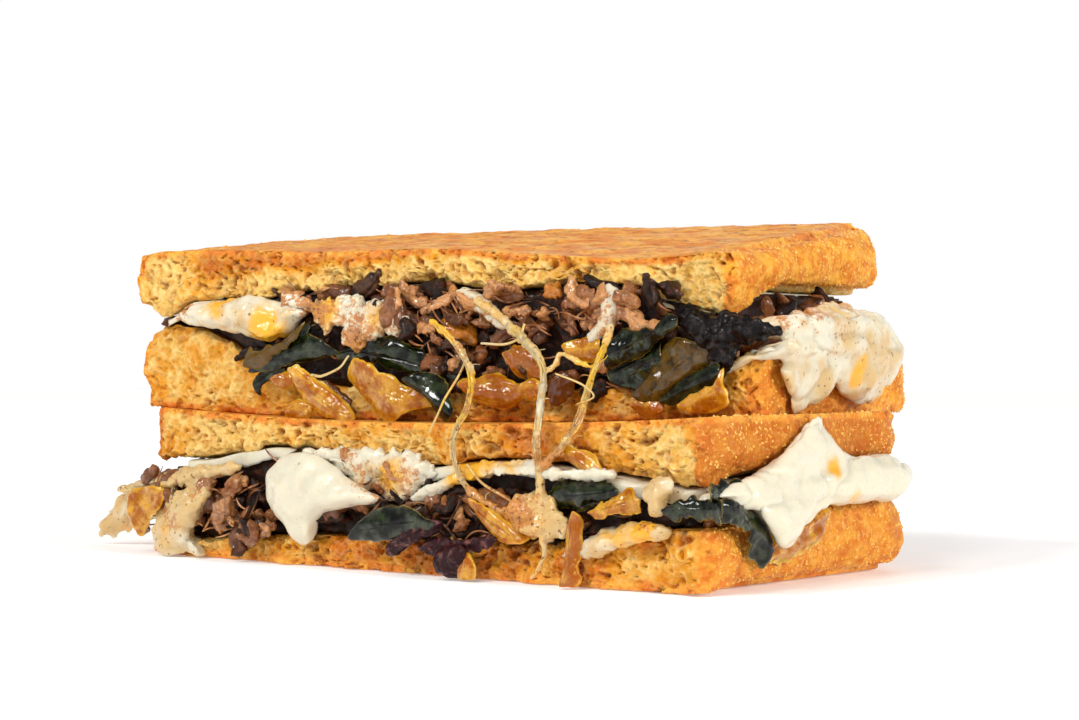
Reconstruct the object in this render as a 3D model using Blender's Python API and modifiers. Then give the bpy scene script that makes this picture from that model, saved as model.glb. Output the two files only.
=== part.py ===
"""Griddled beef, pepper, onion and cheese sandwich, cut in two, with one half standing on the other.

Lengths are in metres. Each half has its own frame: "along" runs from left to right on the cut face,
"out" is how far a point stands in front of the cut face, and height is above the table.
"""

import math
import random

import bmesh
import bpy
import numpy as np
from mathutils import Matrix, Vector, noise

MM = 0.001

# Driving sizes of the bread and of one half.
HALF_DEPTH = 76 * MM
FRONT = -33.5 * MM
BACK = FRONT + HALF_DEPTH
BACK_CORNER = 13 * MM
FRONT_CORNER = 3 * MM
CRUST_ROUND = 4.5 * MM
CLEARANCE = 0.35 * MM
CUT_ROOM = 0.5 * MM
HEAP_ROOM = 0.7 * MM
HEAP_INSET = 5 * MM
SHEET_INSET = 7 * MM
LEAST_ROOM = 0.15 * MM

# The upper half is turned a little on the lower one, and set back to the left.
UPPER_TURN = math.radians(8)
UPPER_SHIFT = Vector((-13.9 * MM, 10.5 * MM, 0))

# The seam where the halves touch sags in the middle.
SEAM_LOW = 30.4 * MM
SEAM_SAG = 2.4 * MM
SEAM_REACH = 78 * MM

# Mesh fineness.
BREAD_CELLS = (22, 5, 3)
BREAD_ROWS = (0, 0.15, 0.5, 0.83, 0.93, 1.0)
CORE_CELLS = (20, 4, 3)
SHEET_CELLS = (16, 3, 1)
VOXEL = 1.3 * MM
STRING_VOXEL = 0.75 * MM
BEEF_VOXEL = 1.6 * MM
BEEF_KEEP = 0.013
SLIVER = 0.15 * MM
FLAT = math.radians(1.5)

TOAST = ((0.72, 0.36, 0.09, 1), 0.55)
BEEF = ((0.26, 0.12, 0.06, 1), 0.5)
CHEESE = ((0.90, 0.84, 0.62, 1), 0.35)
PEPPER = ((0.03, 0.05, 0.02, 1), 0.2)
ONION = ((0.62, 0.36, 0.08, 1), 0.3)
CHARRED = ((0.03, 0.012, 0.014, 1), 0.35)
PURPLE = ((0.17, 0.05, 0.06, 1), 0.3)


# Scene and small helpers.

def clear_scene():
    for obj in list(bpy.data.objects):
        bpy.data.objects.remove(obj)


def new_collection(name):
    made = bpy.data.collections.new(name)
    bpy.context.scene.collection.children.link(made)
    return made


def material(name, look):
    colour, roughness = look
    made = bpy.data.materials.new(name)
    made.use_nodes = True
    shader = made.node_tree.nodes["Principled BSDF"]
    shader.inputs["Base Color"].default_value = colour
    shader.inputs["Roughness"].default_value = roughness
    shader.inputs["Metallic"].default_value = 0.0
    return made


def smoothstep(t):
    t = min(max(t, 0.0), 1.0)
    return t * t * (3 - 2 * t)


def profile(stations, along):
    """Height at one place on a smooth curve through stations, each a pair of millimetres (along, height)."""
    xs = np.array([s[0] for s in stations], float)
    ys = np.array([s[1] for s in stations], float)
    x = min(max(along / MM, xs[0]), xs[-1])
    slopes = np.gradient(ys, xs)
    i = min(int(np.searchsorted(xs, x, side="right")) - 1, len(xs) - 2)
    span = xs[i + 1] - xs[i]
    t = (x - xs[i]) / span
    rise = (1 + 2 * t) * (1 - t) ** 2 * ys[i] + t * t * (3 - 2 * t) * ys[i + 1]
    bend = span * (t * (1 - t) ** 2 * slopes[i] - t * t * (1 - t) * slopes[i + 1])
    return float(rise + bend) * MM


def rough(place, size, seed):
    """Smooth noise from -1 to 1 whose lumps are about size across."""
    return noise.noise(place / size + Vector((seed * 7.3, seed * 3.1, seed * 5.7)))


# The two halves.

class Half:
    """One half's frame, and the breads below and above its filling."""

    def __init__(self, name, turn, shift):
        self.name = name
        self.frame = Matrix.Translation(shift) @ Matrix.Rotation(turn, 4, "Z")

    def at(self, along, out, height):
        """A point of the model from millimetres in this half's frame."""
        return self.frame @ Vector((along * MM, FRONT - out * MM, height * MM))

    def direction(self, along, out, height):
        return (self.frame.to_3x3() @ Vector((along, -out, height))).normalized()


LOWER = Half("lower_half", 0.0, Vector((0, 0, 0)))
UPPER = Half("upper_half", UPPER_TURN, UPPER_SHIFT)


def seam_height(point):
    return SEAM_LOW + SEAM_SAG * min(abs(point.x) / SEAM_REACH, 1.0) ** 2


class Bread:
    """One slice: its ends along the cut, and its faces as a front profile that eases to a back height."""

    def __init__(self, name, half, ends, back, below, above, seed):
        self.name = name
        self.half = half
        self.left, self.right = ends[0] * MM, ends[1] * MM
        self.back = back
        self.below = below
        self.above = above
        self.seed = seed

    def face(self, rule, along, deep):
        if rule == "table":
            return 0.0
        if rule in ("on_seam", "under_seam"):
            lift = CLEARANCE / 2 if rule == "on_seam" else -CLEARANCE / 2
            point = self.half.frame @ Vector((along, deep, 0))
            return seam_height(point) + lift
        front, rear, ease = rule
        share = (deep - FRONT) / (ease * MM)
        share = smoothstep(share) if ease * MM < HALF_DEPTH else min(max(share, 0.0), 1.0)
        return profile(front, along) * (1 - share) + profile(rear, along) * share

    def bottom(self, along, deep):
        return self.face(self.below, along, deep)

    def top(self, along, deep):
        return self.face(self.above, along, deep)


LOWER_BOTTOM = Bread(
    "lower_half_bottom_bread", LOWER, (-77.5, 77.5), BACK, "table",
    ([(-77.5, 5), (-62, 4), (-48, 4.5), (-34, 6), (-10, 6.4), (18, 7), (48, 8.8), (68, 11.6), (77.5, 12.4)],
     [(-77.5, 10), (0, 12), (50, 13), (77.5, 17)], 34), 1)
LOWER_TOP = Bread(
    "lower_half_top_bread", LOWER, (-77, 78), BACK - 2 * MM,
    ([(-77, 21.4), (-60, 22), (-40, 25), (-12, 23), (4, 22), (24, 24), (46, 23), (60, 21.3), (78, 19.3)],
     [(-77, 20), (0, 20.5), (78, 22)], 30), "under_seam", 2)
UPPER_BOTTOM = Bread(
    "upper_half_bottom_bread", UPPER, (-72.5, 84), BACK, "on_seam",
    ([(-72.5, 49.4), (-60, 50.6), (-50, 48), (-38, 41.5), (-20, 37.8), (20, 37.2), (54, 38), (66, 41),
      (84, 45.4)],
     [(-72.5, 46), (0, 44), (84, 45.4)], 34), 3)
UPPER_TOP = Bread(
    "upper_half_top_bread", UPPER, (-75, 78), BACK,
    ([(-75, 56.6), (-64, 53.2), (-58, 55.8), (-40, 56.6), (-22, 58.4), (6, 59.4), (22, 57.6), (48, 58.6),
      (58, 57.2), (68, 53.8), (78, 50.8)],
     [(-75, 59.5), (0, 58.5), (78, 57)], 26),
    ([(-75, 67), (-56, 67.4), (-20, 66.2), (5, 66.2), (38, 64), (56, 63), (78, 64.2)],
     [(-75, 74.5), (0, 74.5), (78, 74)], 76), 4)


# Bread slices.

def split_box(cells):
    """A cube from -1 to 1 whose faces are split into cells along X, Y and Z."""
    box = bmesh.new()
    bmesh.ops.create_cube(box, size=2.0)
    for axis, count in enumerate(cells):
        crossing = [e for e in box.edges if abs(e.verts[0].co[axis] - e.verts[1].co[axis]) > 1e-6]
        bmesh.ops.subdivide_edges(box, edges=crossing, cuts=count - 1, use_grid_fill=True)
    return box


def round_corner(along, deep, left, right, front, back):
    """Squeezes the corner squares of the plan into quarter discs."""
    for edge_a, side_a in ((left, -1), (right, 1)):
        for edge_b, side_b, radius in ((front, -1, FRONT_CORNER), (back, 1, BACK_CORNER)):
            over_a = (along - (edge_a - side_a * radius)) * side_a / radius
            over_b = (deep - (edge_b - side_b * radius)) * side_b / radius
            if over_a > 0 and over_b > 0:
                disc_a = over_a * math.sqrt(1 - over_b * over_b / 2)
                disc_b = over_b * math.sqrt(1 - over_a * over_a / 2)
                along = edge_a - side_a * radius * (1 - disc_a)
                deep = edge_b - side_b * radius * (1 - disc_b)
                return along, deep
    return along, deep


def crumb_depth(place, seed):
    """How far the torn crumb of the cut face stands in or out."""
    lumps = rough(place, 7 * MM, seed) * 1.3 * MM
    crags = rough(place, 3 * MM, seed + 1) * 0.8 * MM
    return lumps + crags


def bread_solid(bread, collection, look):
    box = split_box(BREAD_CELLS)
    for vert in box.verts:
        u, v, w = vert.co
        share_deep = BREAD_ROWS[round((v + 1) / 2 * BREAD_CELLS[1])]
        along = bread.left + (bread.right - bread.left) * (u + 1) / 2
        deep = FRONT + (bread.back - FRONT) * share_deep
        on_cut = v < -0.999
        on_rim = abs(u) > 0.999 or v > 0.999
        low, high = bread.bottom(along, deep), bread.top(along, deep)
        along, deep = round_corner(along, deep, bread.left, bread.right, FRONT, bread.back)
        height = low + (high - low) * (w + 1) / 2
        if on_rim:
            inset = CRUST_ROUND * (1 - math.sqrt(max(1 - 0.96 * w * w, 0.0)))
            inset *= 0.25 + 0.75 * smoothstep((deep - FRONT) / (14 * MM))
            along -= math.copysign(inset, along) if abs(u) > 0.999 else 0.0
            deep -= inset if v > 0.999 else 0.0
            height -= 0.5 * inset * w
        place = Vector((along, deep, height))
        if on_cut:
            deep -= crumb_depth(place, bread.seed)
            if bread.below not in ("table", "on_seam"):
                height += (1 - w) / 2 * rough(place, 4.5 * MM, bread.seed + 2) * 1.1 * MM
        if bread is UPPER_TOP and w > 0.999:
            height += rough(place, 16 * MM, bread.seed + 3) * 0.5 * MM
        vert.co = bread.half.frame @ Vector((along, deep, height))
    return finish_mesh(box, bread.name, collection, look)


def finish_mesh(shape, name, collection, look):
    bmesh.ops.recalc_face_normals(shape, faces=shape.faces)
    bmesh.ops.triangulate(shape, faces=shape.faces)
    mesh = bpy.data.meshes.new(name)
    shape.to_mesh(mesh)
    shape.free()
    mesh.materials.append(look)
    mesh.shade_smooth()
    mesh.set_sharp_from_angle(angle=math.radians(50))
    obj = bpy.data.objects.new(name, mesh)
    collection.objects.link(obj)
    return obj


# Turning modifiers into plain meshes, and cutting pieces clear of their neighbours.

def baked(obj):
    """Applies the object's modifiers, and keeps its largest body and the name."""
    bpy.context.view_layer.update()
    graph = bpy.context.evaluated_depsgraph_get()
    mesh = bpy.data.meshes.new_from_object(obj.evaluated_get(graph), depsgraph=graph)
    obj.modifiers.clear()
    shape = bmesh.new()
    shape.from_mesh(mesh)
    drop_loose_scraps(shape)
    bmesh.ops.triangulate(shape, faces=shape.faces)
    shape = thinned(shape)
    shape.to_mesh(mesh)
    shape.free()
    obj.data = mesh
    return obj


def thinned(shape):
    """The same closed mesh without slivers and needless edges, or as it was where that would open it."""
    for sliver, flat in ((SLIVER, FLAT), (SLIVER / 2, FLAT), (SLIVER / 8, FLAT), (SLIVER / 40, 0.001)):
        trial = shape.copy()
        bmesh.ops.dissolve_degenerate(trial, edges=trial.edges, dist=sliver)
        bmesh.ops.dissolve_limit(trial, verts=trial.verts, edges=trial.edges, angle_limit=flat)
        bmesh.ops.triangulate(trial, faces=trial.faces)
        drop_loose_scraps(trial)
        if all(e.is_manifold for e in trial.edges) and all(v.is_manifold for v in trial.verts):
            shape.free()
            return trial
        trial.free()
    return shape


def drop_loose_scraps(shape):
    """Keeps the largest body, also where a scrap hangs on it by one corner or one edge."""
    left = set(shape.faces)
    bodies = []
    while left:
        body, fringe = [], [left.pop()]
        while fringe:
            face = fringe.pop()
            body.append(face)
            for edge in face.edges:
                if len(edge.link_faces) == 2:
                    beyond = [other for other in edge.link_faces if other in left]
                    left.difference_update(beyond)
                    fringe += beyond
        bodies.append(body)
    biggest = max(bodies, key=len)
    scraps = [face for body in bodies if body is not biggest for face in body]
    bmesh.ops.delete(shape, geom=scraps, context="FACES")


def add_boolean(obj, other, operation):
    cut = obj.modifiers.new(operation.lower(), "BOOLEAN")
    cut.operation = operation
    cut.solver = "MANIFOLD"
    cut.object = other
    return cut


def grown(obj, by, cutters):
    """A hidden copy of obj, pushed out along its normals, to cut a neighbour with."""
    copy = bpy.data.objects.new("room_for_" + obj.name, obj.data.copy())
    cutters.objects.link(copy)
    copy.hide_render = True
    copy.display_type = "WIRE"
    push = copy.modifiers.new("push", "DISPLACE")
    push.direction = "NORMAL"
    push.mid_level = 0.0
    push.strength = by
    return baked(copy)


def boxes_meet(a, b, margin):
    corners_a = np.array([a.matrix_world @ v.co for v in a.data.vertices])
    corners_b = np.array([b.matrix_world @ v.co for v in b.data.vertices])
    apart = (corners_a.min(0) > corners_b.max(0) + margin) | (corners_b.min(0) > corners_a.max(0) + margin)
    return not apart.any()


def cut_clear(obj, neighbours, cutters, room):
    """Cuts obj back from its neighbours, leaving room between them."""
    for neighbour in [n for n in neighbours if boxes_meet(obj, n, room)]:
        cutter = grown(neighbour, room, cutters)
        add_boolean(obj, cutter, "DIFFERENCE")
        baked(obj)
        bpy.data.objects.remove(cutter)
    return obj


# Soft lumps, leaves and shreds.

def smooth_line(points, count):
    """Points read evenly from a smooth curve through the given points, each of any width."""
    given = np.array(points, float)
    knots = np.linspace(0, 1, len(given))
    slopes = np.gradient(given, knots, axis=0)
    read = []
    for share in np.linspace(0, 1, count):
        i = min(int(share * (len(given) - 1)), len(given) - 2)
        span = knots[i + 1] - knots[i]
        t = (share - knots[i]) / span
        rise = (1 + 2 * t) * (1 - t) ** 2 * given[i] + t * t * (3 - 2 * t) * given[i + 1]
        read.append(rise + span * (t * (1 - t) ** 2 * slopes[i] - t * t * (1 - t) * slopes[i + 1]))
    return read


def join_balls(balls, name, collection, look, voxel=VOXEL, keep=0.17, core=None):
    """One soft body from balls, each (point, radius), and a core if any, melted together by a remesh."""
    shape = core or bmesh.new()
    for centre, radius in balls:
        bmesh.ops.create_icosphere(shape, subdivisions=2, radius=radius, matrix=Matrix.Translation(centre))
    obj = finish_mesh(shape, name, collection, look)
    melt = obj.modifiers.new("melt", "REMESH")
    melt.mode = "VOXEL"
    melt.voxel_size = voxel
    soften = obj.modifiers.new("soften", "SMOOTH")
    soften.factor = 0.5
    soften.iterations = 2
    thin = obj.modifiers.new("thin", "DECIMATE")
    thin.ratio = keep
    return baked(obj)


def blob(half, name, chains, collection, look, **options):
    """A melted lump: each chain is a list of (along, out, height, radius) in millimetres."""
    balls = []
    for chain in chains:
        reach = sum((Vector(b[:3]) - Vector(a[:3])).length for a, b in zip(chain, chain[1:]))
        thinnest = min(link[3] for link in chain)
        count = max(int(reach / (0.7 * thinnest)), 2) if len(chain) > 1 else 1
        line = smooth_line(chain, count) if len(chain) > 1 else [np.array(chain[0], float)]
        balls += [(half.at(p[0], p[1], p[2]), p[3] * MM) for p in line]
    return join_balls(balls, half.name + "_" + name, collection, look, **options)


def leaf(half, name, spine, across, width, collection, look, thick=1.6, curl=1.2, ripple=0.5, seed=0,
         blunt=0.35, cells=(6, 2)):
    """A thin wavy piece: a spine of (along, out, height), the direction of its width, and the width."""
    sheet = bmesh.new()
    bmesh.ops.create_grid(sheet, x_segments=cells[0], y_segments=cells[1], size=1.0)
    line = [half.at(*p) for p in smooth_line(spine, 41)]
    side = half.direction(*across)
    for vert in sheet.verts:
        s, t = (vert.co.x + 1) / 2, vert.co.y
        index = min(int(s * 40), 39)
        centre = line[index].lerp(line[index + 1], s * 40 - index)
        ahead = (line[min(index + 2, 40)] - line[max(index - 1, 0)]).normalized()
        over = ahead.cross(side).normalized()
        if over.y > 0:
            over.negate()
        taper = (blunt + (1 - blunt) * math.sin(math.pi * s) ** 0.7)
        taper *= 1 + 0.45 * rough(centre + side * t * 3 * MM, 5 * MM, seed + 50)
        place = centre + side * (t * width * MM / 2 * taper)
        place += over * (curl * MM * (1 - t * t) + ripple * MM * rough(place, 4 * MM, seed))
        vert.co = place
    obj = finish_mesh(sheet, half.name + "_" + name, collection, look)
    wall = obj.modifiers.new("wall", "SOLIDIFY")
    wall.thickness = thick * MM
    wall.offset = 0.0
    return baked(obj)


def shred_lines(zones, dice):
    """Bent beef shreds as lists of (along, out, height, radius), spread over zones of the cut face."""
    lines = []
    for (low_a, high_a), (low_z, high_z), out, count, slant in zones:
        for turn in range(count):
            a = low_a + (high_a - low_a) * (turn + dice.uniform(0.2, 0.8)) / count
            z = dice.uniform(low_z, high_z)
            angle = math.radians(slant + dice.uniform(-40, 40))
            step = Vector((math.cos(angle), 0, math.sin(angle))) * dice.uniform(3, 7)
            radius = dice.uniform(1.3, 2.2)
            lean = dice.uniform(-2, 2)
            bow = dice.uniform(-2, 2)
            lines.append([(a - step.x, out + lean - 1.5, z - step.z, radius * 0.6),
                          (a + bow * 0.3, out, z + bow, radius),
                          (a + step.x, out - lean - 1.5, z + step.z, radius * 0.6)])
    return lines


def beef_heap(half, lower, upper, room_above, bulge, zones, seed, collection, look):
    """The beef that fills the half, with the shreds that show at the cut melted on."""
    left = lower.left + HEAP_INSET
    right = min(lower.right, upper.right) - HEAP_INSET
    rear = BACK - HEAP_INSET
    box = split_box(CORE_CELLS)
    for vert in box.verts:
        u, v, w = vert.co
        share = (u + 1) / 2
        along = left * (1 - share) + right * share
        deep = FRONT + 1 * MM + (rear - FRONT - 1 * MM) * (v + 1) / 2
        along, deep = round_corner(along, deep, left, right, FRONT, rear)
        low = lower.top(along, deep) + CLEARANCE
        high = upper.bottom(along, deep) - room_above * MM
        height = low + (high - low) * (w + 1) / 2
        if v < -0.999:
            place = Vector((along, deep, height))
            deep -= profile(bulge, along) * (1 - 0.4 * w * w) + rough(place, 6 * MM, seed) * 1.5 * MM
        vert.co = half.frame @ Vector((along, deep, height))
    balls = []
    for line in shred_lines(zones, random.Random(seed)):
        balls += [(half.at(p[0], p[1], p[2]), p[3] * MM) for p in smooth_line(line, 7)]
    name = half.name + "_beef"
    return join_balls(balls, name, collection, look, voxel=BEEF_VOXEL, keep=BEEF_KEEP, core=box)


def cheese_layer(half, upper, span, thick, reach, seed, collection, look, tongues):
    """A melted sheet under the upper slice, whose front edge runs out by reach, with tongues fused on."""
    box = split_box(SHEET_CELLS)
    for vert in box.verts:
        u, v, w = vert.co
        along = (span[0] + (span[1] - span[0]) * (u + 1) / 2) * MM
        deep = FRONT + (BACK - SHEET_INSET - FRONT) * (v + 1) / 2
        along, deep = round_corner(along, deep, span[0] * MM, span[1] * MM, FRONT, BACK - SHEET_INSET)
        high = upper.bottom(along, deep) - CLEARANCE
        height = high - thick * MM * (1 - w) / 2
        if v < -0.999:
            deep -= profile(reach, along)
            height -= 0.5 * MM * (1 + rough(Vector((along, deep, height)), 6 * MM, seed))
        vert.co = half.frame @ Vector((along, deep, height))
    sheet = finish_mesh(box, half.name + "_cheese", collection, look)
    for number, chains in enumerate(tongues):
        tongue = blob(half, "tongue_%d" % number, chains, collection, look)
        add_boolean(sheet, tongue, "UNION")
        baked(sheet)
        bpy.data.objects.remove(tongue)
    return sheet


# What the sandwich is made of. Places are in millimetres in the half's own frame.

def make_breads(parts, look):
    slices = (LOWER_BOTTOM, LOWER_TOP, UPPER_BOTTOM, UPPER_TOP)
    return [bread_solid(bread, parts, look) for bread in slices]


def upper_cheese(parts, look):
    """The melted sheet under the top slice, its rolled left edge, and the lump over the right end."""
    roll = [[(-60, 1, 54.0, 1.6), (-54, 1.5, 53.6, 2.7), (-47, 2, 53, 3.3), (-40, 2.5, 51.8, 3.9),
             (-35, 2.5, 50.8, 3.6), (-30, 2, 52.8, 3.0)]]
    lace = [[(-29, 2, 55, 2.2), (-22, 3, 53.5, 2.8), (-16, 3, 50.5, 2.5), (-13, 3, 47.8, 1.5)],
            [(-20, 2, 55, 2.4), (-12, 3, 54.5, 2.6), (-3, 3, 53.5, 2.4), (3, 3, 51, 1.8)]]
    root = [[(16, 2, 56.5, 1.9), (22, 3, 54.0, 1.9), (27, 4, 50.5, 1.6)]]
    tuft = [[(50, 1, 56, 2.2), (52, 2.5, 52.5, 2.4), (50, 3, 49.5, 1.8), (47.5, 3, 47.5, 1.2)]]
    reach = [(-68, 0), (-30, 1), (0, 1.5), (50, 1.5), (76, 1)]
    tongues = (roll, lace, root, tuft)
    sheet = cheese_layer(UPPER, UPPER_TOP, (-66, 76), 1.7, reach, 5, parts, look, tongues)
    lump = blob(UPPER, "cheese_lump", [
        [(80, -7, 49, 2.4), (85, -11, 49.5, 3.0), (86, -22, 50, 3.2), (86, -36, 50.4, 3.4),
         (85.5, -50, 49, 3.0)],
        [(80, -2, 44.5, 1.6), (85, -6, 45, 2.6), (86.5, -20, 46, 3.2), (87, -36, 46, 3.6),
         (86.5, -52, 45, 3.2)],
        [(85.8, -11, 41.5, 2.6), (86.6, -24, 42, 3.0), (87, -36, 42, 3.4), (86.6, -49, 42, 3.0)],
        [(85.6, -14, 37.5, 2.5), (86.2, -24, 38, 2.7), (86.4, -38, 38.6, 2.8)],
        [(85.6, -17, 35, 2.2), (85.8, -28, 35.4, 2.2)]], parts, look, keep=0.16)
    return [sheet, lump]


def lower_cheese(parts, look):
    """The melted sheet in the lower half, and all that has run out of it."""
    drip = [[(-24, 1, 23, 2.4), (-28, 3.5, 19.5, 3.2), (-30, 4, 15.5, 3.4), (-29.5, 4, 11.5, 2.7),
             (-27, 4, 8, 1.9), (-25.6, 4, 6.4, 1.5)],
            [(-27, 3.5, 17.5, 3.2), (-20, 3.5, 17.8, 2.6), (-13, 3, 17, 1.7), (-7, 2.5, 15.8, 1.1)]]
    band = [[(6, 1, 19, 1.6), (16, 2, 21, 2.0), (28, 2, 22.8, 2.0), (38, 2, 22, 1.8), (44, 1.5, 20.5, 1.3)]]
    reach = [(-70, 0), (-30, 0.5), (0, 1), (50, 1), (74, 0.5)]
    sheet = cheese_layer(LOWER, LOWER_TOP, (-66, 73), 1.7, reach, 6, parts, look, (drip, band))
    drape = blob(LOWER, "cheese_drape", [
        [(76, -1, 17.2, 2.0), (80, -5, 17.5, 2.8), (81, -14, 17.8, 3.4), (81.3, -30, 18, 3.8),
         (81, -45, 18.6, 3.8), (80, -58, 19, 3.4), (78.5, -64, 19.6, 2.6)],
        [(80, -12, 20.8, 2.5), (80.6, -24, 22.2, 3.0), (80.6, -42, 22.6, 3.2), (79.5, -60, 22.2, 2.6)],
        [(79.8, -21, 24.6, 2.4), (79.8, -30, 27.6, 2.4), (79.4, -35.5, 30, 1.8)],
        [(79.8, -30, 25.5, 2.6), (79.8, -40, 26, 2.6)],
        [(81.5, -19, 15, 2.6), (82.3, -24, 11.5, 2.5), (82.3, -26.5, 8.4, 1.3)],
        [(82, -31, 15, 2.8), (82.3, -28, 11.5, 2.2)]], parts, look, keep=0.16)
    flap = leaf(LOWER, "cheese_flap", [(-67, -12, 18.5), (-82, -12, 17.5), (-95, -11, 11), (-106, -9, 2.6)],
                (0.1, -1, 0.1), 19, parts, look, thick=2.6, curl=1.5, ripple=1.0, seed=3)
    left = blob(LOWER, "cheese_left_end", [
        [(-75, 1, 15, 2.6), (-71, 2.5, 12, 3.4), (-67, 2.5, 8, 3.2), (-63, 2, 6, 2.2)],
        [(-73, 1, 16.5, 2.4), (-63, 1.5, 17.6, 2.6), (-56, 1, 18.6, 1.8)]], parts, look, keep=0.2)
    under = blob(LOWER, "cheese_on_bottom_bread", [
        [(52, 1, 11, 1.8), (58, 2, 12.6, 2.4), (64, 2, 13.4, 2.4), (70, 1, 14.8, 2.0), (74, 0, 15.4, 1.4)],
        [(70.5, 1.5, 20.0, 1.7), (66.7, 2.5, 19.6, 2.1), (66.2, 2.5, 16.8, 1.6), (65.5, 2.5, 14.2, 1.6)]],
        parts, look, keep=0.2)
    return [sheet, drape, flap, left, under]


def cheese_web(parts, look):
    """The strings that still join the halves: three strands, a cross thread and the knot where they meet."""
    left = [(4.8, -4.4, 51, 1.5), (13, -3, 46, 1.3), (19, -0.4, 40, 1.1), (20.6, 2.6, 34, 1.0),
            (18.6, 4.2, 28, 0.9), (19.2, 4.4, 22.4, 0.95), (22.3, 4, 17.6, 1.2), (29.4, 3.7, 14, 1.5),
            (35, 3, 11.5, 2.0)]
    middle = [(12.6, -9.5, 55, 1.9), (21, -7.8, 51, 1.9), (30.4, -4.4, 46, 1.5), (35.4, -2.9, 41.5, 1.3),
              (37.8, 0.5, 35.3, 1.2), (39.4, 3.7, 27.7, 1.2), (40.2, 4, 22, 1.4), (39.8, 3, 16.3, 1.5),
              (39.5, 3.2, 12.5, 2.6)]
    right = [(46.4, -10, 49.3, 1.6), (47.8, -5.7, 44.6, 1.2), (47.7, -2.8, 40.2, 1.0), (48.4, 0.4, 35.4, 1.2),
             (48.5, 3, 30.7, 1.4), (45.8, 4, 26.9, 1.5), (42.2, 4.2, 23.8, 1.3), (40.4, 4, 22, 1.2)]
    cross = [(35.7, -2.5, 40.8, 0.9), (37.8, -3.4, 42, 0.9), (38.4, -4.4, 44.4, 0.8), (42.6, -4, 43.1, 0.8),
             (47.2, -3.6, 41.6, 0.8)]
    knot = [(34, 3, 11, 2.2), (39, 3.4, 11, 3.0), (42, 3, 12.5, 1.8)]
    tail = [(40.4, 3.2, 10, 1.6), (41, 3.2, 6.4, 0.9), (39.4, 3.2, 3.4, 0.75), (37.6, 3.2, 1.4, 0.7)]
    threads = [left, middle, right, cross, knot, tail]
    return blob(LOWER, "cheese_strings", threads, parts, look, voxel=STRING_VOXEL, keep=0.1)


def upper_vegetables(parts, pepper, onion, charred):
    """Peppers first, then onions, in the order in which each is cut clear of those before it."""
    up = (0.25, 0, 1)
    side = (1, 0, 0.45)
    return [
        blob(UPPER, "charred_onion", [
            [(68, 2, 52, 2.0), (72, 3, 49.5, 3.2), (76, 3, 46.8, 3.4), (76, 3, 43, 2.5),
             (75, 2.5, 40.8, 1.4)],
            [(77, 3, 49, 3.0), (82, 2.5, 49, 2.4), (87, 1.5, 48.8, 1.5)]], parts, charred, keep=0.2),
        leaf(UPPER, "pepper_left", [(-43, 3, 40.5), (-36, 4, 43), (-28, 4.5, 46), (-19, 3.5, 49.5)], up, 9,
             parts, pepper, thick=1.7, curl=2.2, seed=1),
        leaf(UPPER, "pepper_left_fold", [(-41, 2.5, 37.6), (-35, 4, 37.6), (-29, 3.5, 39.5)], up, 4,
             parts, pepper, seed=2),
        leaf(UPPER, "pepper_middle", [(-16, 3, 49), (-5, 3, 47), (6, 3, 45.5), (16, 2.5, 43)], up, 7,
             parts, pepper, curl=1.5, seed=3),
        leaf(UPPER, "pepper_strip", [(-3, 4, 43), (3, 6, 40), (9, 6, 36), (12, 5, 32.4)], side, 5.5,
             parts, pepper, seed=4),
        leaf(UPPER, "pepper_leaf", [(48, 3, 44.5), (54, 4.5, 46.5), (61, 4, 49), (67, 3, 52.5)], up, 8.5,
             parts, pepper, curl=2.2, seed=5),
        leaf(UPPER, "pepper_wide", [(53, 3, 35.4), (60, 5, 37.5), (67, 5, 41), (72, 3.5, 43.5)], up, 8.5,
             parts, pepper, curl=1.8, seed=6),
        leaf(UPPER, "pepper_corner", [(60, 2, 33.8), (67, 3, 35), (74, 3, 39)], (0, 0, 1), 4,
             parts, pepper, curl=1.0, seed=7),
        leaf(UPPER, "onion_strip", [(-31, 3.5, 41), (-25, 5.5, 38), (-19, 6, 34.5), (-14.5, 5.5, 31.6)], side,
             5.5, parts, onion, curl=1.4, seed=8),
        leaf(UPPER, "onion_petal", [(-11, 4, 43), (-6, 6.5, 39.5), (-3.5, 7, 35.5), (-4, 6, 32)],
             (1, 0, 0.15), 14, parts, onion, curl=2.0, seed=9, blunt=0.15),
        leaf(UPPER, "onion_centre", [(16, 3, 37), (24, 4.5, 39), (32, 4.5, 38.6), (40, 3, 36)], up, 8,
             parts, onion, curl=1.8, seed=10),
        leaf(UPPER, "onion_right", [(43, 3, 35), (48, 4.5, 38.5), (53, 3.5, 42)], up, 7,
             parts, onion, curl=1.8, seed=11),
        leaf(UPPER, "onion_corner", [(66, 5, 33.8), (72, 6.5, 34.6), (77, 5, 38)], (0.3, 0, 1), 5.5,
             parts, onion, curl=1.6, seed=12),
    ]


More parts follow.
